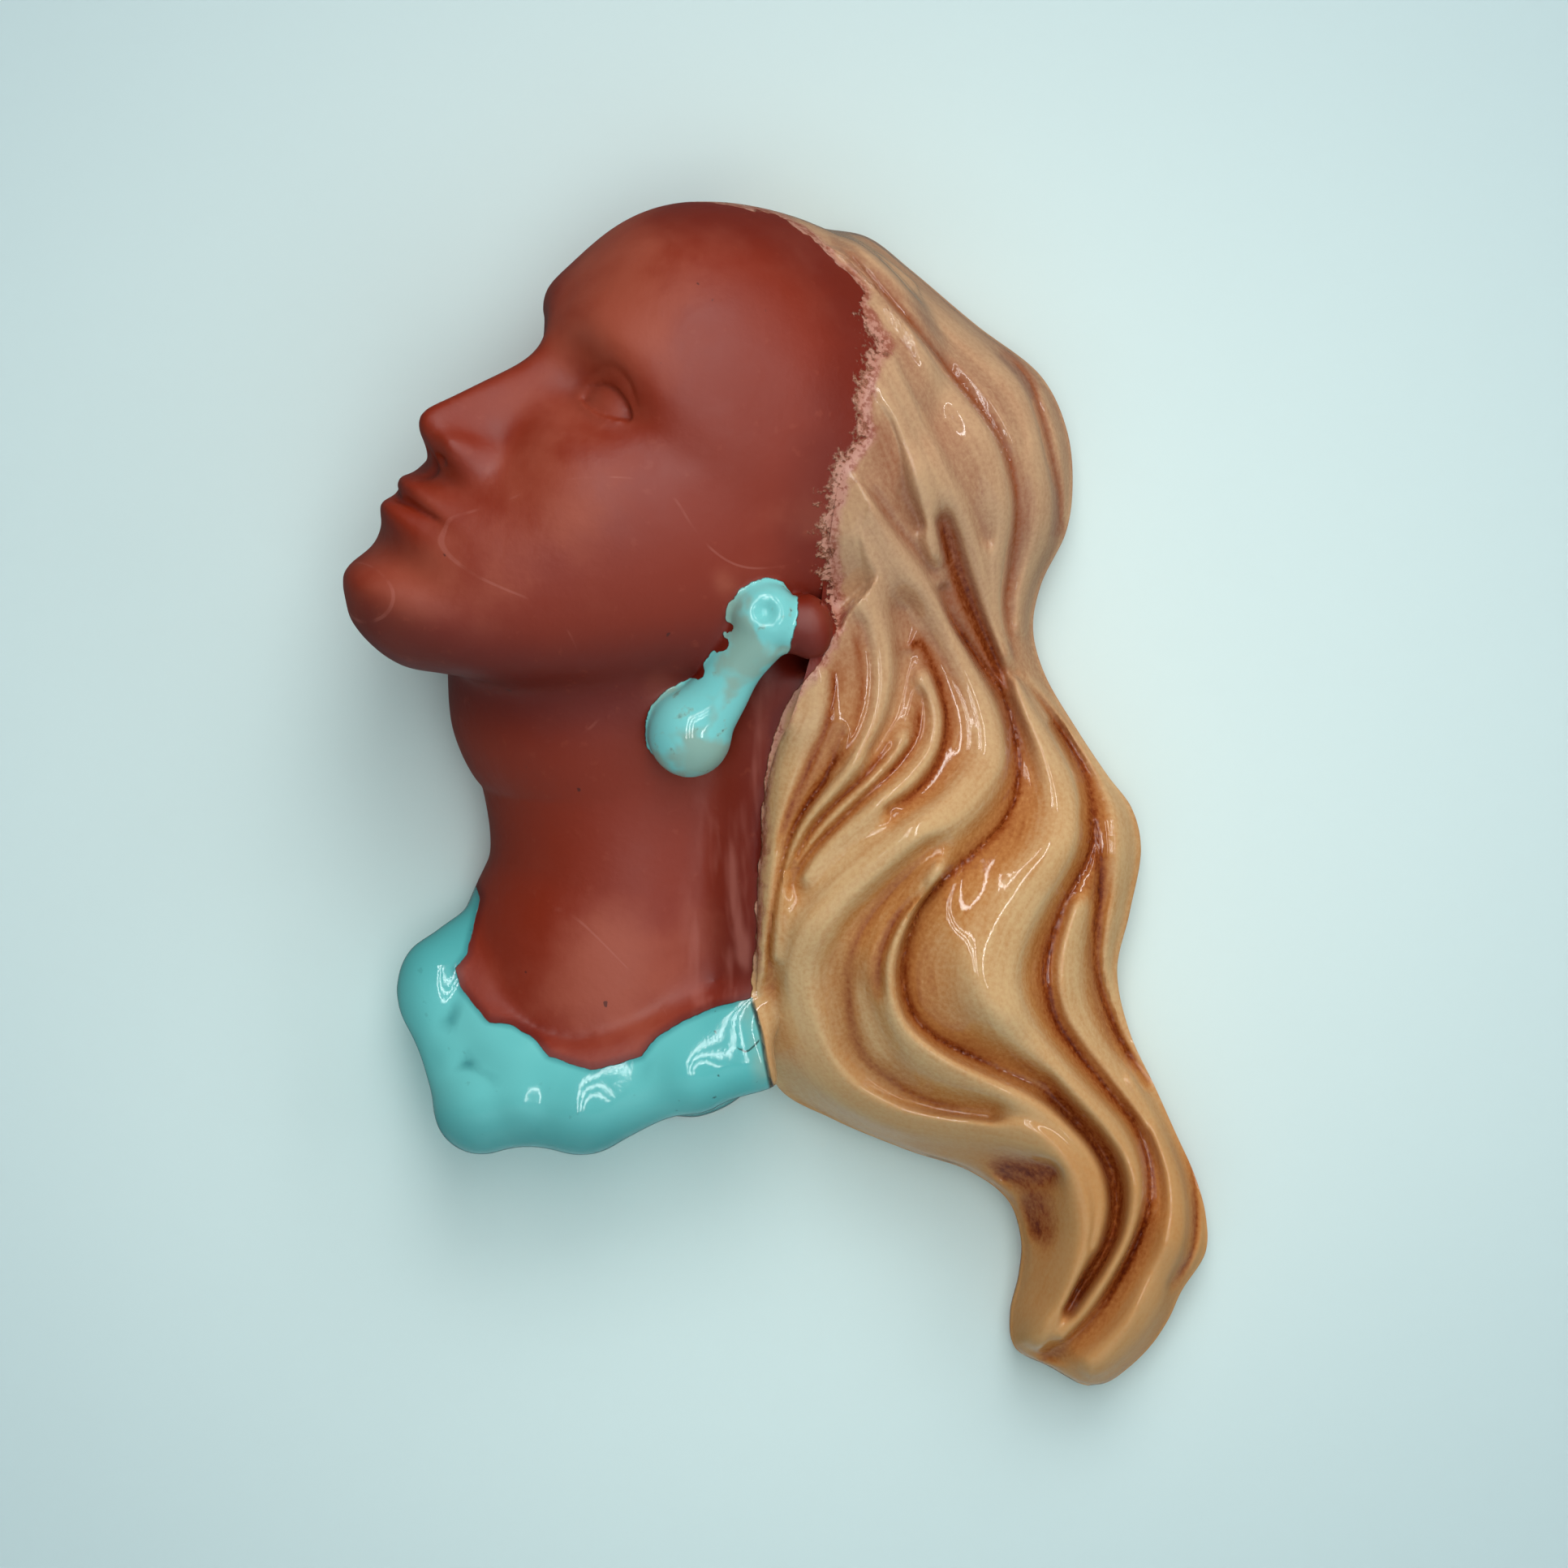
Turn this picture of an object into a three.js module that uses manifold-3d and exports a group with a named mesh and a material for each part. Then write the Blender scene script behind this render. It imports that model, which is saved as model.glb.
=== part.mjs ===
// A slip-cast ceramic wall mask: a woman's head thrown back, long wavy hair, a drop earring and a
// rolled collar. One hollow casting, open behind, with a flat rim that lies on the wall.
// Millimetres. X runs to the viewer's right, Z up, and the wall is the plane y = 0 with the mask
// standing out of it towards -Y. The origin is on the back of the hanging web, just above the nail hole.

import * as THREE from "three";
import { mergeVertices } from "three/addons/utils/BufferGeometryUtils.js";
import { LoftGeometry } from "three/addons/geometries/LoftGeometry.js";
import Module from "manifold-3d";

const wasm = await Module();
wasm.setup();

// The head, measured in thirds of the face: chin to nose, nose to brow, brow to hairline.
const faceThird = 41;
const chinLevel = -1.75 * faceThird;
const noseLevel = -0.75 * faceThird;
const mouthLevel = noseLevel - faceThird / 3;
const browLevel = 0.25 * faceThird;
const crownLevel = 66;
const headHalfWidth = 46;
const eyeWidth = (2 * headHalfWidth) / 5;
const headCentre = [-18, -26, -39];
const headTurn = 57;
const headRoll = 38;

// The casting, and the web that it hangs by.
const wallThickness = 5.5;
const behindWall = 4;
const web = { thickness: 6, top: 30, bottom: -18 };
const nailHole = { below: 9, radius: 4.5, sides: 32 };
const hanger = { x: -2, z: 2 };

const degree = Math.PI / 180;
const bell = (distance, reach) => Math.exp(-((distance / reach) ** 2));
const series = (count, make) => Array.from({ length: count }, (_, i) => make(i));

// A smooth curve through [place, value] stops, read at any place.
function smoothThrough(stops) {
  const slope = stops.map((stop, i) => {
    const before = stops[Math.max(i - 1, 0)];
    const after = stops[Math.min(i + 1, stops.length - 1)];
    return (after[1] - before[1]) / (after[0] - before[0]);
  });
  return (place) => {
    const at = THREE.MathUtils.clamp(place, stops[0][0], stops.at(-1)[0]);
    const i = Math.min(stops.findLastIndex((stop) => stop[0] <= at), stops.length - 2);
    const span = stops[i + 1][0] - stops[i][0];
    const t = (at - stops[i][0]) / span;
    const rise = stops[i + 1][1] - stops[i][1];
    const bend = t * (1 - t) * ((1 - t) * (slope[i] * span - rise) - t * (slope[i + 1] * span - rise));
    return stops[i][1] + rise * t + bend;
  };
}

// Values spread evenly from t = 0 to t = 1.
const evenly = (values) => smoothThrough(values.map((value, i) => [i / (values.length - 1), value]));

const flatCurve = (places) =>
  new THREE.CatmullRomCurve3(places.map(([x, z]) => new THREE.Vector3(x, 0, z)));

function solid(geometry) {
  const bare = new THREE.BufferGeometry();
  bare.setAttribute("position", geometry.getAttribute("position"));
  bare.setIndex(geometry.index ?? series(bare.getAttribute("position").count, (i) => i));
  const merged = mergeVertices(bare, 1e-4);
  return new wasm.Manifold(
    new wasm.Mesh({
      numProp: 3,
      vertProperties: merged.getAttribute("position").array,
      triVerts: new Uint32Array(merged.index.array),
    }),
  );
}

const loft = (sections) => solid(new LoftGeometry(sections, { capStart: true, capEnd: true }));
const joined = (solids) => solids.reduce((whole, next) => whole.add(next));

// The head has its own frame: r to its left, f ahead, u to the crown. It is turned to the viewer's
// left and rolled back, so the face looks up and away.
const turn = headTurn * degree;
const roll = headRoll * degree;
const upward = new THREE.Vector3(Math.sin(roll), 0, Math.cos(roll));
const ahead = new THREE.Vector3(
  -Math.sin(turn) * Math.cos(roll),
  -Math.cos(turn),
  Math.sin(turn) * Math.sin(roll),
);
const leftward = new THREE.Vector3().crossVectors(upward, ahead);
const headFrame = new THREE.Matrix4().makeBasis(leftward, ahead, upward).setPosition(...headCentre);

const inHead = (r, f, u) => new THREE.Vector3(r, f, u).applyMatrix4(headFrame);

// Profile lines of the bare head against its height: front, back, half-width and where it is widest.
const frontLine = smoothThrough([
  [chinLevel, 50], [-66, 54.5], [-56, 53.5], [mouthLevel, 55], [noseLevel, 54], [-15, 53], [0, 52.5],
  [browLevel, 56], [25, 56], [40, 51], [51, 40.5], [60, 23], [crownLevel, 0],
]);
const backLine = smoothThrough([
  [chinLevel, 28], [-60, 8], [-48, -10], [-36, -28], [-20, -44], [0, -50], [20, -52], [40, -46],
  [55, -28], [crownLevel, -12],
]);
const sideLine = smoothThrough([
  [chinLevel, 11], [-66, 20], [-56, 28], [mouthLevel, 35], [noseLevel, 41], [-15, 44.5],
  [0, 45.5], [15, headHalfWidth], [32, 43.5], [46, 35], [58, 20], [crownLevel, 5],
]);
const widestLine = smoothThrough([
  [chinLevel, 38], [-50, 14], [-30, 2], [0, -8], [30, -10], [crownLevel, -8],
]);

// The nose: how far it stands out and its half-width, against the height.
const noseHeight = smoothThrough([
  [-37, 0], [-34.5, 1], [-32.5, 5], [-30.5, 10.5], [-28, 13.5], [-25, 13.8], [-20, 11.5], [-12, 7.5],
  [-4, 3.8], [2, 2], [8, 0.4], [14, 0],
]);
const noseHalfWidth = smoothThrough([
  [-35, 8], [-30, 7.5], [-26, 7], [-18, 5.8], [-8, 5.4], [2, 6], [10, 9],
]);

// What the features add to the bare head, along f.
function faceRelief(r, u) {
  const off = Math.abs(r);
  const nose = noseHeight(u) * bell(off, noseHalfWidth(u));
  const wings = 5 * bell(off - 8.2, 3.4) * bell(u + 28, 4);
  const brow = 2.6 * bell(off - 17, 13) * bell(u - browLevel - 1, 5.5);
  const socket = -6 * bell(off - eyeWidth, 9) * bell(u - 1, 8);
  const innerCorner = -3.5 * bell(off - 10.5, 4.5) * bell(u - 1, 6);
  const cheek = 2.6 * bell(off - 30, 12) * bell(u + 18, 12);
  const muzzle = 3 * bell(off, 16) * bell(u - mouthLevel, 11);
  const upperLip = 3 * bell(off, 10) * bell(u - mouthLevel - 3.2, 2.8);
  const lowerLip = 3.4 * bell(off, 9) * bell(u - mouthLevel + 4, 3.2);
  const parting = -1.8 * bell(off, 12.5) * bell(u - mouthLevel, 1.5);
  const chin = 2.8 * bell(off, 11) * bell(u + 65, 6.5) - 2.2 * bell(off, 11) * bell(u + 56, 4);
  return nose + wings + brow + socket + innerCorner + cheek + muzzle + upperLip + lowerLip + parting + chin;
}

// One level ring of the head, with corners crowded to the front where the features are.
const crowding = 0.42;
function headRing(level, corners, relief, inset = 0) {
  return series(corners, (i) => {
    const even = (i / corners) * 2 * Math.PI;
    const angle = even - relief * crowding * Math.sin(even);
    const along = Math.cos(angle);
    const middle = widestLine(level);
    const reach = along > 0 ? frontLine(level) - middle : middle - backLine(level);
    const r = Math.max(sideLine(level) - inset, 2) * Math.sin(angle);
    const face = along > 0 ? relief * faceRelief(r, level) * Math.min(1, along * 3) : 0;
    return inHead(r, middle + Math.max(reach - inset, 2) * along + face, level);
  });
}

const headLevels = [
  chinLevel, -69, -65, -60, -56, -52, -49, -46.5, -44.4, -42, -39, -36, -33.5, -31,
  -28, -24, -18, -11, -4, 3, 9, 14, 23, 34, 44, 53, 59, crownLevel,
];
const headCorners = 38;
const bareHead = () => loft(headLevels.map((level) => headRing(level, headCorners, 1)));

function ball(centre, sizes, detail = 12) {
  const shape = new THREE.SphereGeometry(1, detail, Math.round(detail * 0.65)).scale(...sizes);
  return solid(shape.translate(...centre));
}

// An eye is an almond cut through the lids down to a smaller, blank ball.
const eyeSet = {
  aside: 13.4,
  ahead: 32.8,
  lidRadius: 13.2,
  ballRadius: 12.1,
  halfWidth: 7.6,
  above: 4.2,
  below: 3,
  splay: 23 * degree,
};

function almond(side) {
  const outline = series(12, (i) => {
    const t = Math.cos((i / 12) * 2 * Math.PI);
    const height = i < 6 ? eyeSet.above : -eyeSet.below;
    return [t * eyeSet.halfWidth, height * (1 - t * t) + t * 0.8];
  });
  const order = side > 0 ? outline.reverse() : outline;
  const place = ([across, u], f) =>
    inHead(
      side * (eyeSet.aside + across * Math.cos(eyeSet.splay) + f * Math.sin(eyeSet.splay)),
      eyeSet.ahead + f * Math.cos(eyeSet.splay) - across * Math.sin(eyeSet.splay),
      u,
    );
  return loft([25, 6].map((f) => order.map((corner) => place(corner, f))));
}

function eyed(head, side) {
  const centre = inHead(side * eyeSet.aside, eyeSet.ahead, 0).toArray();
  const lids = ball(centre, Array(3).fill(eyeSet.lidRadius), 16);
  const eyeball = ball(centre, Array(3).fill(eyeSet.ballRadius), 16);
  return head.add(lids).subtract(almond(side).subtract(eyeball));
}

// A round body swept along a path: each stop is [x, depth, z, half-width, half-depth].
function sweep(stops, steps, corners, inset = 0) {
  const path = new THREE.CatmullRomCurve3(stops.map(([x, depth, z]) => new THREE.Vector3(x, -depth, z)));
  const [halfWidth, halfDepth] = [3, 4].map((k) => evenly(stops.map((stop) => stop[k] - inset)));
  return loft(
    series(steps + 1, (i) => {
      const t = i / steps;
      const along = path.getTangent(t);
      const across = new THREE.Vector3(-along.z, 0, along.x).normalize();
      const out = new THREE.Vector3().crossVectors(along, across);
      return series(corners, (j) => {
        const a = (j / corners) * 2 * Math.PI;
        return path
          .getPoint(t)
          .addScaledVector(across, halfWidth(t) * Math.cos(a))
          .addScaledVector(out, halfDepth(t) * Math.sin(a));
      });
    }),
  );
}

const neckStops = [
  [-28, 24, -62, 38, 34], [-34, 18, -84, 42, 35], [-32, 13, -106, 36, 32], [-32.5, 10, -128, 34, 31],
  [-37, 8, -148, 37, 31], [-40, 6, -172, 38, 29],
];
const collarStops = [
  [-54, 12, -138, 3, 4], [-68, 15, -141.5, 6.5, 7.5], [-77, 18, -154, 9.5, 10.5],
  [-74.5, 21, -167, 8.6, 9], [-67, 24, -179.5, 11, 11.5], [-55, 27, -181, 9, 10.5],
  [-42, 29, -180.5, 10.5, 11], [-27, 31, -175, 9, 10], [-16, 33, -171, 9.6, 10.5], [-2, 34, -167, 9.6, 10],
];
const chestStops = [
  [-36, 2, -132, 27, 26], [-41, 2, -152, 36, 33], [-39, 2, -168, 37, 30], [-41, 2, -181, 22, 18],
];

// The earring: a dimpled button on the lobe, and a drop that hangs from it.
const earLobe = { centre: [6, -60, -73], sizes: [6, 6, 8] };
const button = { centre: [-3, -62, -70], sizes: [7.6, 6, 7.6] };
const dimple = { centre: [-3, -69.5, -69], sizes: [3.6, 4, 3.6] };
const drop = { centre: [-20, -52, -96], sizes: [9.6, 9, 10.2] };
const dropNeck = [[-4, 61, -74, 5.5, 5], [-9, 57, -82, 5.2, 5], [-15, 54, -90, 7.5, 7]];

function earring() {
  const rounded = ({ centre, sizes }) => ball(centre, sizes);
  const stud = rounded(button).subtract(rounded(dimple));
  return joined([rounded(earLobe), stud, rounded(drop), sweep(dropNeck, 4, 10)]);
}

// Rows across the hair, from its left edge to its right: [left x, left z, right x, right z].
const hairRows = [
  [-32, 6, -29, 12], [-18, 12, -11, 22], [4, 13, 13, 19.3], [14, 3, 32, 8.6], [19, -11, 52, -8],
  [16, -27, 65, -24], [13, -44, 66.3, -46], [10, -62, 58.8, -67], [8, -76, 60, -81], [3, -92, 68, -95],
  [-3, -108, 80, -112], [-5, -132, 81, -135], [-5, -156, 77.5, -156], [0, -177, 86, -177],
  [30, -191, 95, -196], [51, -203, 98, -212], [54, -222, 89, -230], [54, -236, 80, -241],
  [66, -244, 73, -245.5],
];
const lastHeldRow = 13;
const leftEdge = flatCurve(hairRows.map(([x, z]) => [x, z]));
const rightEdge = flatCurve(hairRows.map(([, , x, z]) => [x, z]));
const faceEdge = flatCurve(hairRows.slice(0, lastHeldRow)).getPoints(40);
const freeEdge = [
  ...rightEdge.getPoints(90),
  ...flatCurve(hairRows.slice(lastHeldRow + 1)).getPoints(30),
];

// The line of the highest hair: [x, z, crest depth, how steeply its edge rounds up, depth of relief].
const crestStops = [
  [8, -8, 66, 8.5, 0.5], [24, -46, 67, 8.5, 0.6], [27, -92, 61, 7.6, 0.95], [25, -125, 54, 7, 1],
  [25, -150, 49, 7, 1], [31, -175, 42, 7, 1], [56, -199, 32, 6, 0.9], [72, -220, 26, 5.6, 0.8],
  [71, -246, 18, 5, 0.7],
];
const crestLine = flatCurve(crestStops);
const crestSteps = 60;
const alongCrest = (k) => evenly(crestStops.map((stop) => stop[k]));
const [crestHeight, crestRound, crestRelief] = [2, 3, 4].map(alongCrest);
const crestRow = series(crestSteps + 1, (i) => {
  const t = i / crestSteps;
  return { at: crestLine.getPoint(t), depth: crestHeight(t), round: crestRound(t), relief: crestRelief(t) };
});
const edgeDepth = 8;
const steepest = 16;

// The scalp, an egg inside the head's own outline. The hair over it thickens away from the face.
const scalp = { sizes: [headHalfWidth, 58, 65], thinHair: 2, thickHair: 9, thickening: 0.45 };

function scalpDepth(spot) {
  const from = new THREE.Vector3(spot.x - headCentre[0], 0, spot.z - headCentre[2]);
  const axes = [leftward, ahead, upward];
  const reach = axes.map((axis, i) => -axis.y / scalp.sizes[i]);
  const start = axes.map((axis, i) => from.dot(axis) / scalp.sizes[i]);
  const dot = (a, b) => a.reduce((sum, value, i) => sum + value * b[i], 0);
  const [square, slope] = [dot(reach, reach), dot(reach, start)];
  const inside = slope * slope - square * (dot(start, start) - 1);
  const root = Math.sign(inside) * Math.sqrt(Math.abs(inside));
  return (root - slope) / square - headCentre[1];
}

function nearest(spot, rows, place) {
  const distance = (row) => spot.distanceToSquared(place(row));
  return rows.reduce((best, row) => (distance(row) < distance(best) ? row : best));
}

// How far the hair stands out of the wall at a place in the outline, and how deep its locks are cut.
function hairAt(spot) {
  const flat = spot.clone().setY(0);
  const fromEdge = flat.distanceTo(nearest(flat, freeEdge, (place) => place));
  const crest = nearest(flat, crestRow, (row) => row.at);
  const swell = Math.min(crest.depth, edgeDepth + crest.round * Math.sqrt(fromEdge));
  const fromFace = flat.distanceTo(nearest(flat, faceEdge, (place) => place));
  const hairOver = Math.min(scalp.thinHair + scalp.thickening * fromFace, scalp.thickHair);
  const full = Math.max(swell, scalpDepth(spot) + hairOver);
  return { depth: Math.min(full, edgeDepth + steepest * Math.sqrt(fromEdge)), relief: crest.relief };
}

// The hair under the locks, which fills the hollows between them.
const hairFill = 6.5;
function hairBody(corners, steps, inset = 0, first = 0, last = 1) {
  return loft(
    series(steps + 1, (i) => {
      const t = THREE.MathUtils.lerp(first, last, i / steps);
      const from = leftEdge.getPoint(t);
      const to = rightEdge.getPoint(t);
      const across = to.clone().sub(from).normalize();
      const squareTo = (edge) => Math.max(Math.abs(across.clone().cross(edge.getTangent(t)).y), 0.3);
      from.addScaledVector(across, inset / squareTo(leftEdge));
      to.addScaledVector(across, -inset / squareTo(rightEdge));
      const arch = series(corners, (j) => {
        const place = to.clone().lerp(from, 0.5 - 0.5 * Math.cos((j / (corners - 1)) * Math.PI));
        const { depth, relief } = hairAt(place);
        return place.setY(-Math.max(depth - hairFill * relief - inset, 2));
      });
      return [...arch, from.clone().setY(behindWall), to.clone().setY(behindWall)];
    }),
  );
}

// The locks, from the crown to the tail. through holds places in the outline, width the half-width
// from root to tip, and lift how proud the lock lies of the hair under it.
const locks = {
  crownBack: {
    through: [[-6, 8], [2, 13.5], [14, 13.5], [31, 1], [48, -16], [58, -32], [57, -50], [53, -70]],
    width: [3, 4, 6, 8, 8, 5],
  },
  backEdge: {
    through: [[46, -9], [56, -20], [61, -34], [60, -50], [55, -68]],
    width: [3, 5, 5, 3],
    lift: -1,
  },
  sweep: {
    through: [[16, 6], [28, -5], [38, -17], [46, -33], [48, -50], [48, -66], [51, -82]],
    width: [3, 7, 8, 6, 4],
  },
  temple: {
    through: [[20, -8], [31, -22], [38, -40], [42, -58], [47, -74]],
    width: [3, 5.5, 6, 4],
  },
  hairline: {
    through: [[20, -14], [25, -28], [27, -42], [31, -54]],
    width: [3, 4.5, 3],
  },
  central: {
    through: [
      [44, -55], [49, -72], [59, -90], [63, -110], [56, -128], [46, -145], [47, -162], [62, -174],
      [76, -188], [79, -208], [72, -228], [64, -238],
    ],
    width: [3, 7, 10, 13.5, 14, 11, 5, 4, 4, 4, 2],
    lift: 3,
  },
  bigLoop: {
    through: [
      [15, -42], [30, -58], [42, -78], [45, -98], [34, -114], [14, -132], [7, -150], [14, -170],
      [36, -181], [55, -190], [64, -205], [63, -222], [60, -238],
    ],
    width: [4, 7, 7, 8, 9, 9, 9.5, 10, 9.5, 9, 8.5, 5],
    lift: 3,
  },
  innerLoop: {
    through: [
      [36, -78], [34, -100], [24, -119], [20, -140], [21, -156], [30, -170], [46, -177], [62, -184],
    ],
    width: [3, 5, 5, 6, 6, 5, 3],
  },
  earLock: {
    through: [[13, -60], [20, -74], [20, -90], [12, -106], [2, -124], [-1, -148], [0, -172]],
    width: [4, 6, 6, 5, 5, 4, 3],
  },
  neckStrand: {
    through: [[8, -78], [8, -90], [2, -106], [-2, -124], [2, -150], [8, -164]],
    width: [3, 4, 4, 3, 2],
    lift: -6,
  },
  underLock: {
    through: [[70, -124], [66, -140], [67, -154], [74, -170], [84, -188]],
    width: [3, 5.5, 5, 3],
  },
  outer: {
    through: [[54, -70], [62, -87], [73, -105], [77, -122], [74, -140], [73, -154], [79, -170], [85, -178]],
    width: [4, 6, 6.5, 6, 4, 3, 2],
  },
  tail: {
    through: [[78, -172], [87, -190], [90, -206], [86, -222], [77, -234], [68, -240]],
    width: [4, 6.5, 7.5, 7.5, 6, 4],
    lift: 2,
  },
};
const lockStep = 8;
const archCorners = 7;
const lockTip = 16;
const sunk = 5;

// A lock is a ridge with an arched top that follows the hair, and sides straight back to the wall.
function lock({ through, width, lift = 0 }) {
  const path = flatCurve(through);
  const halfWidth = evenly(width);
  const steps = Math.round(path.getLength() / lockStep);
  return loft(
    series(steps + 1, (i) => {
      const t = i / steps;
      const along = path.getTangentAt(t);
      const across = new THREE.Vector3(along.z, 0, -along.x);
      const aside = (share) => path.getPointAt(t).addScaledVector(across, share * halfWidth(t));
      const grown = THREE.MathUtils.smoothstep(Math.min(t, 1 - t), 0, lockTip / path.getLength());
      const rise = 1.5 + 0.6 * halfWidth(t);
      const arch = series(archCorners, (j) => {
        const angle = (j / (archCorners - 1)) * Math.PI;
        const place = aside(-Math.cos(angle));
        const { depth, relief } = hairAt(place);
        const above = lift * grown - sunk * (1 - grown) - rise * (1 - Math.sin(angle));
        return place.setY(-Math.max(depth + relief * above, 2));
      });
      return [...arch, aside(1).setY(behindWall), aside(-1).setY(behindWall)];
    }),
  );
}

function outside() {
  const head = eyed(eyed(bareHead(), 1), -1);
  const trunk = [sweep(neckStops, 9, 20), sweep(chestStops, 4, 14), sweep(collarStops, 26, 9)];
  const hair = [hairBody(8, hairRows.length - 1), ...Object.values(locks).map(lock)];
  return joined([head, ...trunk, ...hair, earring()]);
}

// The hollow behind, the same masses less the thickness of the casting.
const roomLevels = [-62, -50, -36, -18, 4, 26, 44, 56];
const chestRoomEnd = [-41, 2, -172, 31, 28];
const seamStops = [[-2, 0, -62, 12, 24], [-2, 0, -100, 12, 24], [-2, 0, -140, 12, 22], [0, 0, -163, 8, 16]];
const hairRoom = { first: 0.2, last: 0.9 };
function hollow() {
  const headRoom = loft(roomLevels.map((level) => headRing(level, 14, 0, wallThickness + 1)));
  const neckRoom = sweep(neckStops.slice(0, -1), 5, 12, wallThickness);
  const chestRoom = sweep([...chestStops.slice(0, 2), chestRoomEnd], 3, 10, wallThickness);
  const behindHair = hairBody(6, 10, wallThickness, hairRoom.first, hairRoom.last);
  return joined([headRoom, neckRoom, chestRoom, sweep(seamStops, 3, 10), behindHair]);
}

const slab = (sizes, centre) => solid(new THREE.BoxGeometry(...sizes).translate(...centre));

function nail() {
  const { below, radius, sides } = nailHole;
  const rod = new THREE.CylinderGeometry(radius, radius, 4 * web.thickness, sides);
  return solid(rod.translate(hanger.x, 0, hanger.z - below));
}

function casting() {
  const wall = slab([600, 200, 800], [0, 100, -100]);
  const webSizes = [300, web.thickness, web.top - web.bottom];
  const hangingWeb = slab(webSizes, [0, -web.thickness / 2, (web.top + web.bottom) / 2]);
  const body = outside().subtract(wall);
  const webbed = body.subtract(hollow()).add(body.intersect(hangingWeb));
  return webbed.subtract(nail()).translate(-hanger.x, 0, -hanger.z);
}

function meshOf(name, shape, material) {
  const made = shape.getMesh();
  const geometry = new THREE.BufferGeometry();
  geometry.setAttribute("position", new THREE.BufferAttribute(new Float32Array(made.vertProperties), 3));
  geometry.setIndex(new THREE.BufferAttribute(new Uint32Array(made.triVerts), 1));
  const mesh = new THREE.Mesh(geometry, material);
  mesh.name = name;
  return mesh;
}

const group = new THREE.Group();
const terracotta = new THREE.MeshStandardMaterial({ color: 0x8f3a26, roughness: 0.55, metalness: 0 });
group.add(meshOf("wall_mask", casting(), terracotta));

export default group;
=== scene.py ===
import math
import bpy
import numpy as np
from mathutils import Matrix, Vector


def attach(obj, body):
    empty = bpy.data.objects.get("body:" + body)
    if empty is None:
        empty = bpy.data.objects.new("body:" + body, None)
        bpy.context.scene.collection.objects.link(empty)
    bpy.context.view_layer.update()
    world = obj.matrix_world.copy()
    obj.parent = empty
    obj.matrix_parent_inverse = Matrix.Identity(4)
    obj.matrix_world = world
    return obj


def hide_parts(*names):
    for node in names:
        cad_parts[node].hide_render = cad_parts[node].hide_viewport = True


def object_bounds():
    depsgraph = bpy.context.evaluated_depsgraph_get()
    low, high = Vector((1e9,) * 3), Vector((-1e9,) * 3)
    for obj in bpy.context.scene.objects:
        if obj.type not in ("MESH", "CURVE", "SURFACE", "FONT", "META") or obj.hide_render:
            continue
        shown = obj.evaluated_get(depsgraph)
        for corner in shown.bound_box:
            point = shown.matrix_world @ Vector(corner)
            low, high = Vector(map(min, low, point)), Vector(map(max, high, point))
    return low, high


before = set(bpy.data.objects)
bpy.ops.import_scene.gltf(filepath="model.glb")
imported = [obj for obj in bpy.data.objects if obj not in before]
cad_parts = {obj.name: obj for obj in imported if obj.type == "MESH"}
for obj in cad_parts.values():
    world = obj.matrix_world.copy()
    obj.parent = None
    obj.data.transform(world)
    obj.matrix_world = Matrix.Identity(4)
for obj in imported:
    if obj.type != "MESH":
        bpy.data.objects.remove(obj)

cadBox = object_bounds()

# Everything is sketched in millimetres, x to the right and z up along the wall, with the mask
# standing out towards -y. At the end it is moved so that the hanging web's back is the origin.
hangerAt = (-2, 0, 2)
metres = 0.001
degree = math.pi / 180


def pick(*objects):
    bpy.ops.object.select_all(action="DESELECT")
    for each in objects:
        each.select_set(True)
    bpy.context.view_layer.objects.active = objects[0]


def primitive(adder, **settings):  # a new primitive, with nothing else selected
    bpy.ops.object.select_all(action="DESELECT")
    adder(**settings)
    return bpy.context.object


def spotsOf(piece, what="co"):  # the places of a piece's points, or their normals
    flat = np.empty(3 * len(piece.data.vertices))
    piece.data.vertices.foreach_get(what, flat)
    return flat.reshape(-1, 3)


def moveSpots(piece, spots):
    piece.data.vertices.foreach_set("co", np.ascontiguousarray(spots, dtype=np.float32).ravel())
    piece.data.update()


def turnOutward(piece):
    pick(piece)
    bpy.ops.object.mode_set(mode="EDIT")
    bpy.ops.mesh.select_all(action="SELECT")
    bpy.ops.mesh.normals_make_consistent(inside=False)
    bpy.ops.object.mode_set(mode="OBJECT")


def refine(piece, kind, **settings):  # one modifier, applied at once
    pick(piece)
    step = piece.modifiers.new(kind, kind)
    for name, value in settings.items():
        setattr(step, name, value)
    bpy.ops.object.modifier_apply(modifier=step.name)
    return piece


def combine(piece, other, operation):
    refine(piece, "BOOLEAN", object=other, operation=operation, solver="MANIFOLD", material_mode="TRANSFER")
    bpy.data.objects.remove(other)
    return piece


def joinUp(parts):
    pick(*parts)
    bpy.ops.object.join()
    return parts[0]


def ballOf(name, rings, segments, place):  # a sphere whose points place(t, angle, at) moves into a form
    piece = primitive(bpy.ops.mesh.primitive_uv_sphere_add, segments=segments, ring_count=rings, radius=1)
    piece.name = name
    at = spotsOf(piece)
    t = np.arccos(np.clip(at[:, 2], -1, 1)) / np.pi
    moveSpots(piece, place(t, np.arctan2(at[:, 1], at[:, 0]), at))
    turnOutward(piece)
    return piece


def block(corner, opposite):
    piece = primitive(bpy.ops.mesh.primitive_cube_add, size=1)
    low, high = np.array(corner, dtype=float), np.array(opposite, dtype=float)
    moveSpots(piece, (low + high) / 2 + spotsOf(piece) * (high - low))
    return piece


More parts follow.
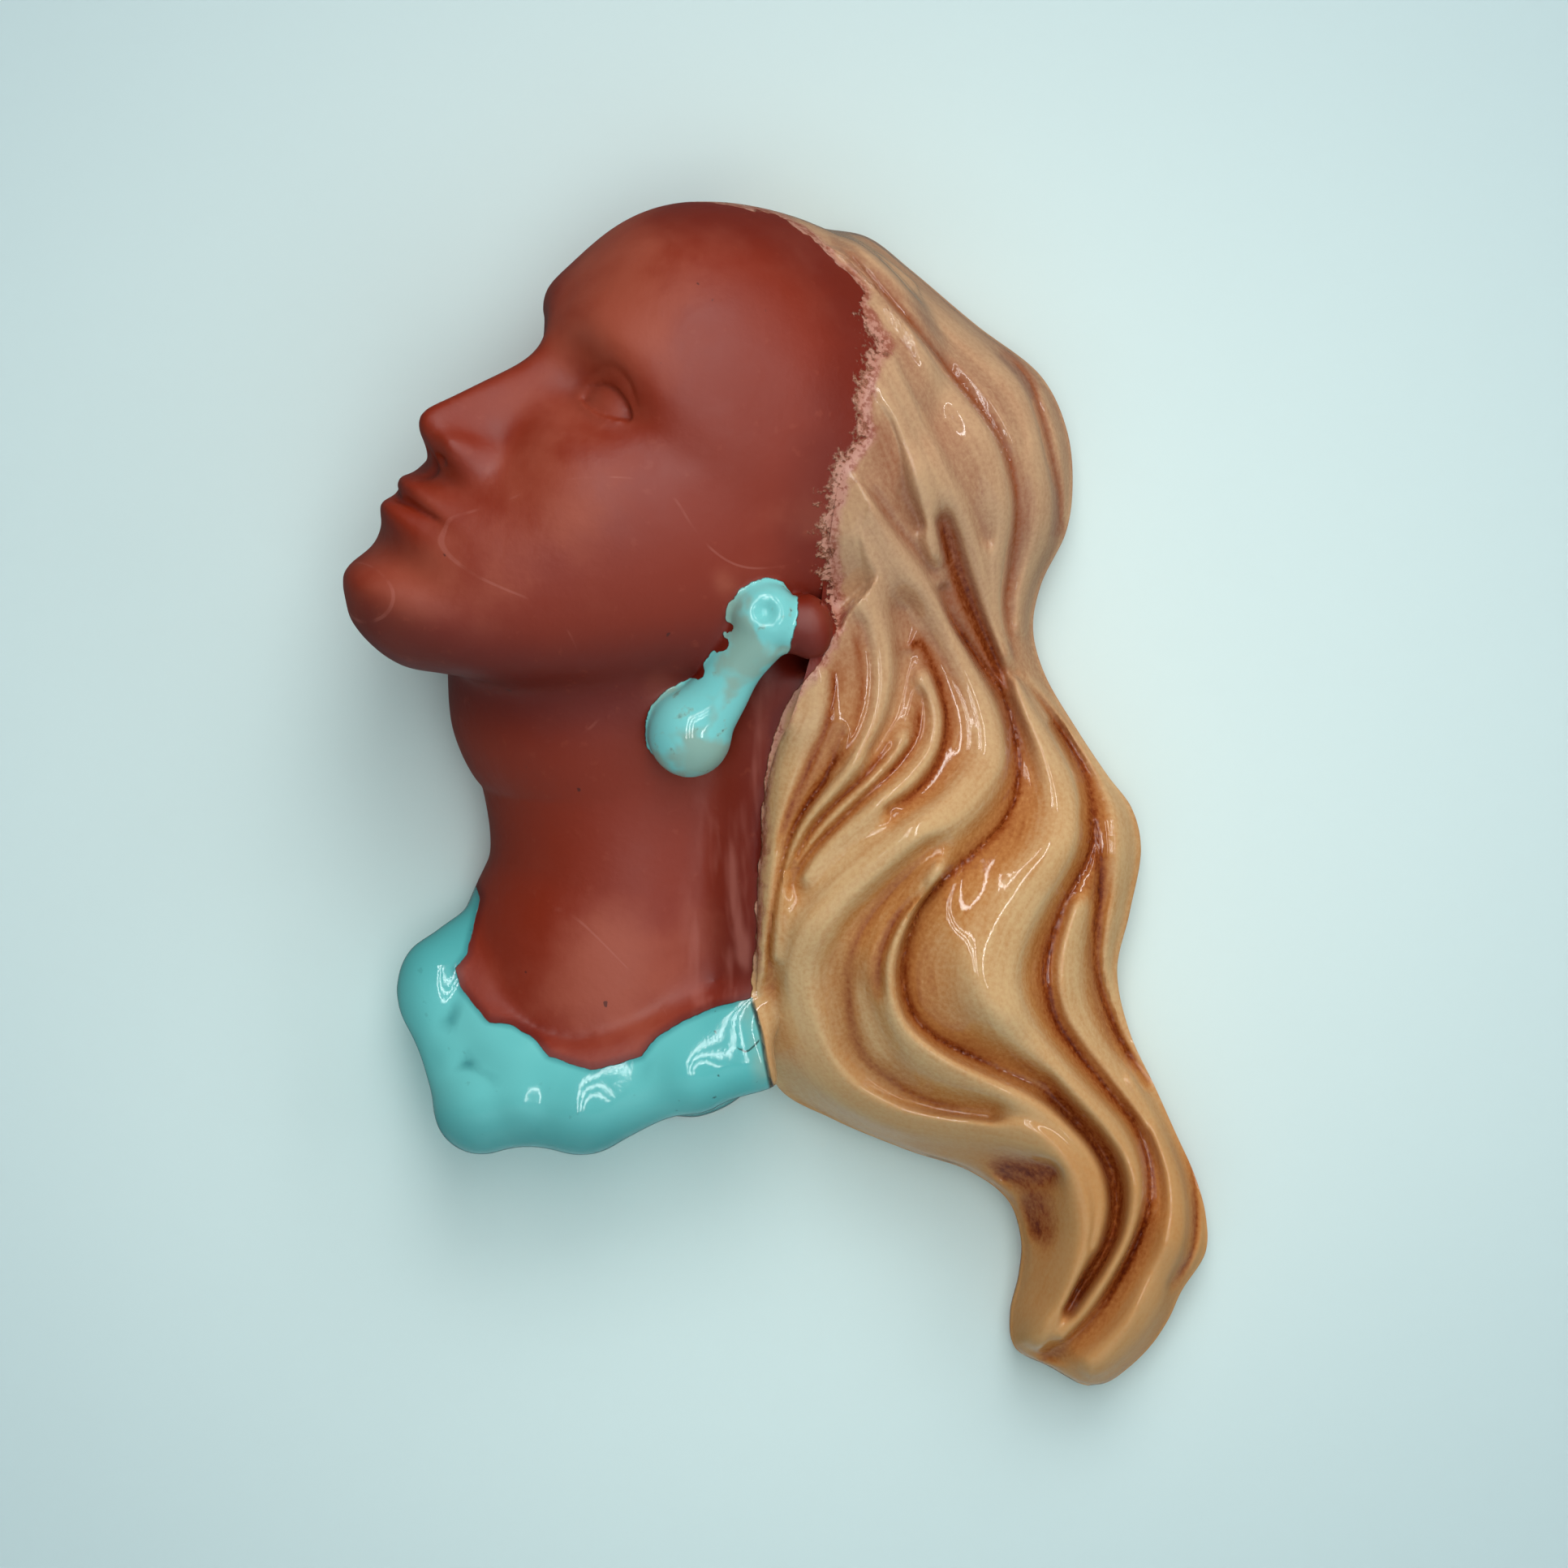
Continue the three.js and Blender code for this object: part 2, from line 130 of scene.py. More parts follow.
def smoothThrough(stops):  # a smooth curve through [place, value] stops, read at any place
    place, value = np.array(stops, dtype=float).T
    last = len(place) - 1
    before, after = np.maximum(np.arange(last + 1) - 1, 0), np.minimum(np.arange(last + 1) + 1, last)
    slope = (value[after] - value[before]) / (place[after] - place[before])

    def read(at):
        at = np.clip(at, place[0], place[-1])
        i = np.clip(np.searchsorted(place, at, side="right") - 1, 0, last - 1)
        span = place[i + 1] - place[i]
        rise = value[i + 1] - value[i]
        t = (at - place[i]) / span
        bend = (1 - t) * (slope[i] * span - rise) - t * (slope[i + 1] * span - rise)
        return value[i] + rise * t + t * (1 - t) * bend

    return read


def evenly(values):
    return smoothThrough([[i / (len(values) - 1), value] for i, value in enumerate(values)])


def softLine(stops, count):  # a smooth line through the stops, as count points
    p = np.array(stops, dtype=float)
    p = np.vstack([2 * p[0] - p[1], p, 2 * p[-1] - p[-2]])
    place = np.linspace(0, len(stops) - 1, count)
    i = np.minimum(place.astype(int), len(stops) - 2)
    t = (place - i)[:, None]
    a, b, c, d = (p[i + k] for k in range(4))
    ab, bc, cd = (
        np.maximum(((q - o) ** 2).sum(1) ** 0.25, 1e-4)[:, None] for o, q in ((a, b), (b, c), (c, d)))
    leave = ((b - a) / ab - (c - a) / (ab + bc) + (c - b) / bc) * bc
    reach = ((c - b) / bc - (d - b) / (bc + cd) + (d - c) / cd) * bc
    square, cube = t**2, t**3
    start, end = (2 * cube - 3 * square + 1) * b, (3 * square - 2 * cube) * c
    return start + (cube - 2 * square + t) * leave + end + (cube - square) * reach


def bell(distance, reach):
    return np.exp(-((distance / reach) ** 2))


def rampUp(value, low, high):
    t = np.clip((value - low) / (high - low), 0, 1)
    return t * t * (3 - 2 * t)


pairsAtOnce = 6000000  # so that measuring many spots against a line stays within memory


def nearestOn(line, spots):  # distance of each spot from a line, its side (left is +) and how far along
    line, distance, side, along = np.asarray(line, dtype=float), *(np.empty(len(spots)) for _ in range(3))
    run = line[1:] - line[:-1]
    length = (run**2).sum(1) + 1e-12
    for part in np.array_split(np.arange(len(spots)), max(1, len(spots) * len(line) // pairsAtOnce)):
        s = spots[part]
        first = ((line**2).sum(1)[None] - 2 * s @ line.T).argmin(1)
        best = np.full(len(part), 1e9)
        for k in (np.maximum(first - 1, 0), np.minimum(first, len(run) - 1)):
            t = np.clip(((s - line[k]) * run[k]).sum(1) / length[k], 0, 1)
            off = s - line[k] - run[k] * t[:, None]
            gap = np.hypot(off[:, 0], off[:, 1])
            turned = run[k, 0] * off[:, 1] - run[k, 1] * off[:, 0]
            nearer = gap < best
            best = np.where(nearer, gap, best)
            distance[part] = best
            side[part] = np.where(nearer, np.where(turned < 0, -1, 1), side[part])
            along[part] = np.where(nearer, (k + t) / len(run), along[part])
    return distance, side, along


print("sketch tools ready")

# The head has its own frame: r to its left, f ahead and u to the crown. It is turned to the
# viewer's left and rolled back. Its levels are thirds of the face, and the face is a plain one.
head = {
    "chin": -71.75,
    "nose": -30.75,
    "mouth": -44.42,
    "brow": 10.25,
    "crown": 66,
    "eyeWidth": 18.4,
    "centre": (-18, -26, -39),
    "turn": 57,
    "roll": 38,
    "rings": 230,
    "segments": 240,
}
turn, roll = head["turn"] * degree, head["roll"] * degree
upward = np.array([math.sin(roll), 0, math.cos(roll)])
ahead = np.array([-math.sin(turn) * math.cos(roll), -math.cos(turn), math.sin(turn) * math.sin(roll)])
leftward = np.cross(upward, ahead)


def inHead(r, f, u):
    r, f, u = np.broadcast_arrays(r, f, u)
    return np.array(head["centre"]) + r[..., None] * leftward + f[..., None] * ahead + u[..., None] * upward


def headSpots(spots):  # the same the other way: r, f, u of places in the sketch
    off = spots - np.array(head["centre"])
    return off @ leftward, off @ ahead, off @ upward


frontLine = smoothThrough([
    [head["chin"], 50], [-66, 54.5], [-56, 53.5], [head["mouth"], 55], [head["nose"], 54], [-15, 53],
    [0, 52.5], [head["brow"], 56], [25, 56], [40, 51], [51, 40.5], [60, 23], [head["crown"], 0],
])
backLine = smoothThrough([
    [head["chin"], 28], [-60, 8], [-48, -10], [-36, -28], [-20, -44], [0, -50], [20, -52], [40, -46],
    [55, -28], [head["crown"], -12],
])
sideLine = smoothThrough([
    [head["chin"], 11], [-66, 20], [-56, 28], [head["mouth"], 35], [head["nose"], 41], [-15, 44.5],
    [0, 45.5], [15, 46], [32, 43.5], [46, 35], [58, 20], [head["crown"], 5],
])
widestLine = smoothThrough([[head["chin"], 38], [-50, 14], [-30, 2], [0, -8], [30, -10], [head["crown"], -8]])
noseHeight = smoothThrough([
    [-37, 0], [-34.5, 1], [-32.5, 5], [-30.5, 10.5], [-28, 13.5], [-25, 13.8], [-20, 11.5], [-12, 7.5],
    [-4, 3.8], [2, 2], [8, 0.4], [14, 0],
])
noseHalfWidth = smoothThrough([[-35, 8], [-30, 7.5], [-26, 7], [-18, 5.8], [-8, 5.4], [2, 6], [10, 9]])


def faceRelief(r, u):  # nose and wings, brow, sockets, cheeks, lips and chin, over the egg of the head
    off, mouth = abs(r), head["mouth"]
    return (
        noseHeight(u) * bell(off, noseHalfWidth(u))
        + 5 * bell(off - 8.2, 3.4) * bell(u + 28, 4)
        + 1.9 * bell(off - 17, 13) * bell(u - head["brow"] - 1, 7)
        - 5 * bell(off - head["eyeWidth"], 10) * bell(u - 1, 8.5)
        - 2.4 * bell(off - 10.5, 5.5) * bell(u - 1, 7)
        + 2.6 * bell(off - 30, 12) * bell(u + 18, 12)
        + 3 * bell(off, 16) * bell(u - mouth, 11)
        + 3.3 * bell(off, 10.5) * bell(u - mouth - 3.4, 2.9)
        + 3.9 * bell(off, 9.5) * bell(u - mouth + 4.2, 3.3)
        - 0.8 * bell(off, 12.5) * bell(u - mouth, 1.6)
        + 2.2 * bell(off, 12) * bell(u + 65, 7)
        - 1.2 * bell(off, 12) * bell(u + 55, 4.5)
    )


def headForm(t, even, at, inset=0, relief=1, levels=(head["crown"], head["chin"])):
    level = np.interp(t, [0.02, 0.93], levels)
    under = np.clip((t - 0.93) / 0.07, 0, 1) * np.pi / 2
    shrink = np.minimum(t / 0.02, 1) * np.cos(under)
    angle = even - 0.42 * relief * np.sin(even)
    along, middle = np.cos(angle), widestLine(level)
    reach = np.where(along > 0, frontLine(level) - middle, middle - backLine(level))
    r = np.maximum(sideLine(level) - inset, 2) * np.sin(angle) * shrink
    face = np.where(along > 0, relief * faceRelief(r, level) * np.minimum(1, along * 3), 0)
    f = middle + (np.maximum(reach - inset, 2) * along + face) * shrink
    if relief:  # the lids swell out of the sockets
        for side in (1, -1):
            cap = eyes["lidRadius"] ** 2 - (r - side * eyes["aside"]) ** 2 - level**2
            lids = np.where((along > 0) & (cap > 0), eyes["ahead"] + np.sqrt(np.maximum(cap, 0)), -99)
            f = np.maximum(f, lids) + 0.7 * np.log1p(np.exp(-abs(f - lids) / 0.7))
    return inHead(r, f, level - 3.5 * np.sin(under))


eyes = {
    "aside": 13.4,
    "ahead": 32.8,
    "lidRadius": 13.2,
    "ballRadius": 12.1,
    "halfWidth": 8.8,
    "above": 4.4,
    "below": 3.1,
    "splay": 23,
    "lidCrease": 0.42,
}


def almond(side):  # the opening between the lids, as a prism through them
    piece = primitive(bpy.ops.mesh.primitive_cylinder_add, vertices=64, radius=1, depth=2)
    at = spotsOf(piece)
    height = np.where(at[:, 1] > 0, eyes["above"], eyes["below"]) * np.sign(at[:, 1])
    across = at[:, 0] * eyes["halfWidth"]
    u = height * (1 - at[:, 0] ** 2) + 0.8 * at[:, 0]
    f = np.where(at[:, 2] > 0, 25, 8.6 + np.where(at[:, 0] < 0, 4.6, 1.1) * at[:, 0] ** 6)
    splay = eyes["splay"] * degree
    r = side * (eyes["aside"] + across * math.cos(splay) + f * math.sin(splay))
    moveSpots(piece, inHead(r, eyes["ahead"] + f * math.cos(splay) - across * math.sin(splay), u))
    turnOutward(piece)
    return piece


def addEye(piece, side):
    middle = inHead(side * eyes["aside"], eyes["ahead"], 0)
    detail = ((60, 80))
    eyeball = ballOf("eyeball", *detail, lambda t, angle, at: middle + eyes["ballRadius"] * at)
    opening = combine(almond(side), eyeball, "DIFFERENCE")
    combine(piece, opening, "DIFFERENCE")


def sweepForm(stops, inset=0):  # a round body along a path: [x, depth, z, half-width, half-depth]
    def form(t, angle, at):
        body = np.clip((t - 0.03) / 0.94, 0, 1)
        shrink = np.sqrt(1 - np.clip(abs(t - 0.5) * 2 - 0.94, 0, 0.06) ** 2 / 0.0036)
        path = softLine([[x, -depth, z] for x, depth, z, _, _ in stops], 400)
        steps = np.linspace(0, 1, 400)
        heading = np.gradient(path, axis=0)
        heading /= np.linalg.norm(heading, axis=1)[:, None]
        middle, along = (
            np.stack([np.interp(body, steps, line[:, k]) for k in range(3)], 1) for line in (path, heading))
        across = np.stack([-along[:, 2], 0 * body, along[:, 0]], 1)
        across /= np.linalg.norm(across, axis=1)[:, None]
        out = np.cross(along, across)
        wide, deep = (evenly([stop[k] - inset for stop in stops])(body) * shrink for k in (3, 4))
        return middle + across * (wide * np.cos(angle))[:, None] + out * (deep * np.sin(angle))[:, None]

    return form


def roundForm(centre, sizes):
    return lambda t, angle, at: np.array(centre) + at * np.array(sizes)


trunk = {
    "neck": [
        [-28, 24, -62, 38, 34], [-34, 18, -84, 42, 35], [-32, 13, -106, 36, 32], [-32.5, 10, -128, 34, 31],
        [-37, 8, -148, 37, 31], [-40, 6, -172, 38, 29],
    ],
    "chest": [[-36, 2, -132, 27, 26], [-41, 2, -152, 36, 33], [-39, 2, -168, 37, 30], [-41, 2, -181, 22, 18]],
    "collar": [
        [-54, 12, -138, 3, 4], [-68, 15, -141.5, 6.5, 7.5], [-77, 18, -154, 9, 10],
        [-74.5, 21, -167, 7.8, 8.6], [-67, 24, -179.5, 9.8, 10.6], [-56, 27, -181.5, 8.6, 9.8],
        [-42, 29, -180.5, 9.6, 10.4], [-29, 31, -175.5, 8.8, 9.8], [-16, 33, -171, 9.2, 10.2],
        [-2, 34, -167, 9.6, 10],
    ],
}

fills = {  # clay sloped from the neck to the collar and hair, and swellings of the roll and behind the crown
    "slope": [
        [-60, 12, -138, 6, 6], [-67, 17, -149, 9, 10], [-66, 21, -161, 11, 11], [-59, 26, -170, 11, 11.5],
        [-45, 29, -173, 10.5, 11], [-29, 31, -168, 9.5, 10], [-15, 32.5, -163, 9, 9.5], [-2, 33, -161, 8, 9]],
    "neckSide": [
        [4, 44, -78, 14, 12], [3, 38, -90, 17, 14], [2, 36, -102, 19, 14], [2, 33.5, -116, 20, 14],
        [2, 32, -130, 20, 14], [2, 29, -144, 19, 13.5], [2, 23, -158, 17, 12]],
    "swellings": [
        ([-77.5, -18, -154.5], [10, 11.5, 13]), ([-67.5, -24.5, -180.6], [11.4, 13, 11.4]),
        ([-45, -28.5, -181], [13, 12.6, 11]), ([-20, -32.5, -172.5], [11, 11.8, 10.2]),
        ([-72.5, -20.5, -169], [7.5, 11.5, 9.5]), ([-57.5, -27, -179], [11, 12.6, 9.6]),
        ([-7, -2, 10], [18, 7, 6])],
}
# Joins that are wiped smooth: the line, how far from it, and how many times.
wiped = [
    ([(-90, -77), (-78, -80), (-66, -84), (-52, -87), (-36, -86), (-18, -83), (-2, -78)], 14, 110),
    ([stop[::2][:2] for stop in trunk["collar"][1:]], 21, 48),
    ([(-10, -86), (-12, -102), (-14, -116), (-15, -130), (-15, -144), (-12, -158)], 17, 140),
]

earring = {
    "lobe": ([6, -60, -73], [6, 6, 8]),
    "button": ([-3, -62, -70], [7.6, 6, 7.6]),
    "dimple": ([-3, -69.5, -69], [3.6, 4, 3.6]),
    "drop": ([-20, -52, -96], [9.6, 9, 10.2]),
    "neck": [
        [-4, 61, -74, 6.8, 5.4], [-9.5, 58, -81, 6.2, 5.2], [-13.5, 55.2, -87.5, 6.8, 6],
        [-18.5, 52.5, -93.5, 8.6, 8.2]],
}


def modelFigure():  # head, neck, chest, collar and earring, as one body of clay
    detail = ((32, 48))
    face = ballOf("head", head["rings"], head["segments"], headForm)
    for side in (1, -1):
        addEye(face, side)
        nostril = roundForm(inHead(4.3 * side, 60, -33.2), [2.3, 2.6, 2])
        combine(face, ballOf("nostril", 12, 16, nostril), "DIFFERENCE")
    stud = ballOf("button", *detail, roundForm(*earring["button"]))
    combine(stud, ballOf("dimple", *detail, roundForm(*earring["dimple"])), "DIFFERENCE")
    parts = [
        face,
        stud,
        ballOf("earLobe", *detail, roundForm(*earring["lobe"])),
        ballOf("drop", *detail, roundForm(*earring["drop"])),
        ballOf("dropNeck", *detail, sweepForm(earring["neck"])),
        ballOf("neck", 80, 90, sweepForm(trunk["neck"])),
        ballOf("chest", 50, 80, sweepForm(trunk["chest"])),
        ballOf("collar", 150, 40, sweepForm(trunk["collar"])),
        ballOf("collarSlope", 80, 40, sweepForm(fills["slope"])),
        ballOf("neckSide", 80, 40, sweepForm(fills["neckSide"])),
        *(ballOf("swelling", *detail, roundForm(*swelling)) for swelling in fills["swellings"]),
    ]
    figure = joinUp(parts)
    refine(figure, "REMESH", mode="VOXEL", voxel_size=0.62)
    refine(figure, "SMOOTH", factor=0.5, iterations=4)
    softenJoins(figure)
    carveFace(figure)
    return figure


def neighbours(piece, chosen):  # a function that gives each chosen point the mean of the points round it
    edges = np.empty(2 * len(piece.data.edges), dtype=int)
    piece.data.edges.foreach_get("vertices", edges)
    pairs = edges.reshape(-1, 2)
    here, there = np.concatenate([pairs, pairs[:, ::-1]]).T
    kept = chosen[here]
    here, there = (np.cumsum(chosen) - 1)[here[kept]], there[kept]
    count = np.bincount(here, minlength=chosen.sum())[:, None]
    return lambda spots: np.stack([
        np.bincount(here, spots[there, k], len(count)) for k in range(3)], 1) / count


def jewelGap(spots):  # how far places are from the earring's surface
    path = softLine([[x, -depth, z] for x, depth, z, _, _ in earring["neck"]], 30)
    across = np.linalg.norm(spots[:, None] - path[None], axis=2)
    stem = (across - np.interp(np.arange(30), [0, 9, 19, 29], [6.4, 5.9, 6.4, 8.4])[None]).min(1)
    rounds = [roundGap(spots, *earring[name]) for name in ("button", "drop")]
    return np.minimum.reduce([*rounds, stem])


def roundGap(spots, centre, sizes):
    return (np.linalg.norm((spots - np.array(centre)) / np.array(sizes), axis=1) - 1) * min(sizes)


def softenJoins(figure):  # the clay is wiped smooth where the neck meets the jaw, the hair and the collar
    spots = spotsOf(figure)
    flat, jewel = spots[:, [0, 2]], jewelGap(spots)
    shares = [
        (rampUp(reach - nearestOn(line, flat)[0], 0, 0.7 * reach), rounds) for line, reach, rounds in wiped]
    shares = [(share * rampUp(jewel, 0.2, 1.8), rounds) for share, rounds in shares]
    for share, rounds in [*shares, (rampUp(2.6 - abs(jewel), 0, 1.6), 7)]:
        chosen = share > 0
        mean, part = neighbours(figure, chosen), share[chosen, None]
        for _ in range(rounds):
            spots[chosen] += part * (mean(spots) - spots[chosen])
    moveSpots(figure, spots)


def carveFace(figure):  # fine lines that are pressed into the clay: lid creases, lips and lip groove
    r, f, u = headSpots(spotsOf(figure))
    splay = eyes["splay"] * degree
    depth = np.zeros(len(r))
    for side in (1, -1):
        aside, forward = side * r - eyes["aside"], f - eyes["ahead"]
        across = aside * math.cos(splay) - forward * math.sin(splay)
        near = (aside * math.sin(splay) + forward * math.cos(splay) > 6) & (abs(across) < 11)
        share = across / (eyes["halfWidth"] + 1.5)
        crease = (eyes["above"] + 2.0) * (1 - share**2) + 0.8 * share + 0.9
        depth += near * eyes["lidCrease"] * bell(u - crease, 1.1) * rampUp(1 - abs(share), 0, 0.6)
    facing = f > 45
    parting = head["mouth"] + 0.9 * (r / 11) ** 2 - 0.5 * bell(r, 2.5)
    depth += facing * 0.8 * bell(u - parting, 0.75) * rampUp(13.5 - abs(r), 0, 4)
    depth += facing * 0.7 * bell(r, 1.8) * bell(u - head["mouth"] - 9.5, 3.2)
    moveSpots(figure, spotsOf(figure) - spotsOf(figure, "normal") * depth[:, None])


# Rows across the hair, from its edge by the face to its free edge: [left x, left z, right x, right z].
hairRows = [
    [-32, 6, -29, 12], [-18, 12, -11, 23.2], [4, 13, 10, 19.5], [9, 9, 20, 17.5], [14, 3, 30, 10],
    [17, -5, 45, -2.5], [18, -13, 60, -14.5], [16, -27, 65.8, -27], [14, -36, 67, -40], [12, -48, 65.5, -50],
    [10, -62, 59.8, -62], [9, -70, 58, -72], [7, -79, 60.5, -82], [3, -92, 68, -95], [-1, -101, 75, -105.5],
    [-3.5, -112, 80.5, -113], [-4.5, -122, 82.6, -122], [-5, -137, 80, -137], [-5, -150, 77.2, -150],
    [-4.5, -163, 80, -164], [0, -177, 86, -177], [12, -184, 90.5, -187], [30, -191.5, 95, -197],
    [44, -196.3, 97.5, -206], [52.5, -203, 97.5, -214.5], [55.5, -212, 92, -223.5], [55, -220, 89, -230],
    [53, -229, 85, -236], [54, -236.5, 80, -241], [62, -241, 75, -244.5], [68, -244.5, 71, -245.3],
]
hair = {
    "heldRows": 20,
    "along": 480,
    "across": 150,
    "edgeDepth": 8,
    "steepest": 16,
    "base": -1.0,
    "spread": 0.9,
    "scalp": (46, 58, 65),
    "riseFromHead": ([0, 2, 4, 8, 12, 16], [-0.8, 0.8, 2.2, 5.5, 12, 40]),
    "riseFromNeck": ([0, 1, 3, 8, 12, 16], [0, 2.6, 5, 8, 14, 40]),
    "thin": 2,
    "thick": 9,
    "thickening": 0.45,
}
# The line of the highest hair: [x, z, depth, how steeply its edge rounds up].
crest = [
    [8, -8, 66, 8.5], [24, -46, 67, 8.5], [27, -92, 61, 7.6], [25, -125, 54, 7], [25, -150, 49, 7],
    [31, -175, 42, 7], [56, -199, 32, 6], [72, -220, 26, 5.6], [71, -246, 18, 5],
]

# The crests of the locks: how proud of the hair each stands, and its line from root to tip.
ridges = {
    "crown": (1.4, [
        (-8, 19.5), (5, 18), (15, 15.3), (25, 9), (35, 0), (45, -8.5), (52, -15), (56.5, -23), (59, -33),
        (61, -43), (60, -52), (56.5, -62), (55, -72)]),
    "crownBack": (0, [(60, -19), (63.5, -28), (65.3, -38), (65.3, -46)]),
    "sweep": (2, [
        (8, 14.6), (17, 6.5), (24, -1), (31, -8), (39, -18.5), (46.5, -28), (50.3, -38), (51.2, -48),
        (49.8, -58), (49.6, -68), (52, -78)]),
    "hairline": (2.2, [(19.5, -12), (24, -20), (28, -28), (31.5, -38), (34, -50), (34.7, -56)]),
    "temple": (1.2, [
        (24, -13), (30, -24), (34.5, -33), (39, -42), (43, -50), (46, -60), (50, -72), (54.5, -82),
        (61, -92)]),
    "bigLoop": (2.6, [
        (17, -42), (22, -48), (28, -57), (34, -65), (41, -77), (46, -87), (48.5, -95), (48.5, -102),
        (45, -107), (39, -113), (30, -119), (20, -127), (12, -134), (6, -142), (3.5, -150), (5, -160),
        (9, -170), (16, -178), (26, -183), (38, -184.5), (50, -186), (60, -189), (66, -195), (69.3, -203),
        (69.5, -211), (67, -219), (63, -228), (59, -234)]),
    "innerLobe": (0.6, [(33, -84), (36, -92), (35, -99), (30, -106), (22, -112.5), (12, -120.5), (6, -128)]),
    "innerStrand": (0, [(28, -98), (22.5, -105), (16, -111), (9, -118), (4, -125)]),
    "earLock": (1.4, [
        (14, -47), (16, -55), (19, -64), (22.5, -72), (24, -82), (22.5, -92), (18, -101), (12, -109),
        (6, -116), (2, -124), (-0.5, -134), (-1, -146)]),
    "earStrand": (-0.4, [(9, -84), (8, -93), (4, -101), (1, -110), (-1.5, -122), (-3.5, -135), (-4, -150)]),
    "central": (2.6, [
        (54, -84), (57, -91), (61.5, -99), (65, -107), (66, -115), (63, -125), (57, -134), (52, -143),
        (50, -152), (53, -161), (59, -168), (67, -176), (74.5, -184), (79.7, -192), (80.8, -200),
        (79, -210), (75, -218), (70, -226), (64.5, -233)]),
    "innerLoop": (1, [
        (36, -127), (29, -137), (25, -147), (25, -155), (28, -163), (36, -170), (46, -175), (57, -180),
        (65, -186.5), (70.5, -194), (72.7, -203), (71, -212)]),
    "underLock": (-0.6, [(68, -136), (65.5, -148), (66.5, -158), (71, -166), (78, -175), (84.5, -184)]),
    "outer": (0.4, [
        (57, -84), (64, -91), (71, -100), (76, -108), (78.5, -118), (78, -130), (75.7, -142), (75, -150),
        (77.5, -158), (82, -168), (86, -176)]),
    "tail": (1.8, [
        (80, -175), (86, -186), (90, -196), (91, -206), (89, -216), (84, -226), (78, -234), (72, -240)]),
    "tailRim": (-0.6, [(94, -192), (96.6, -201), (97, -210), (95, -218)]),
}

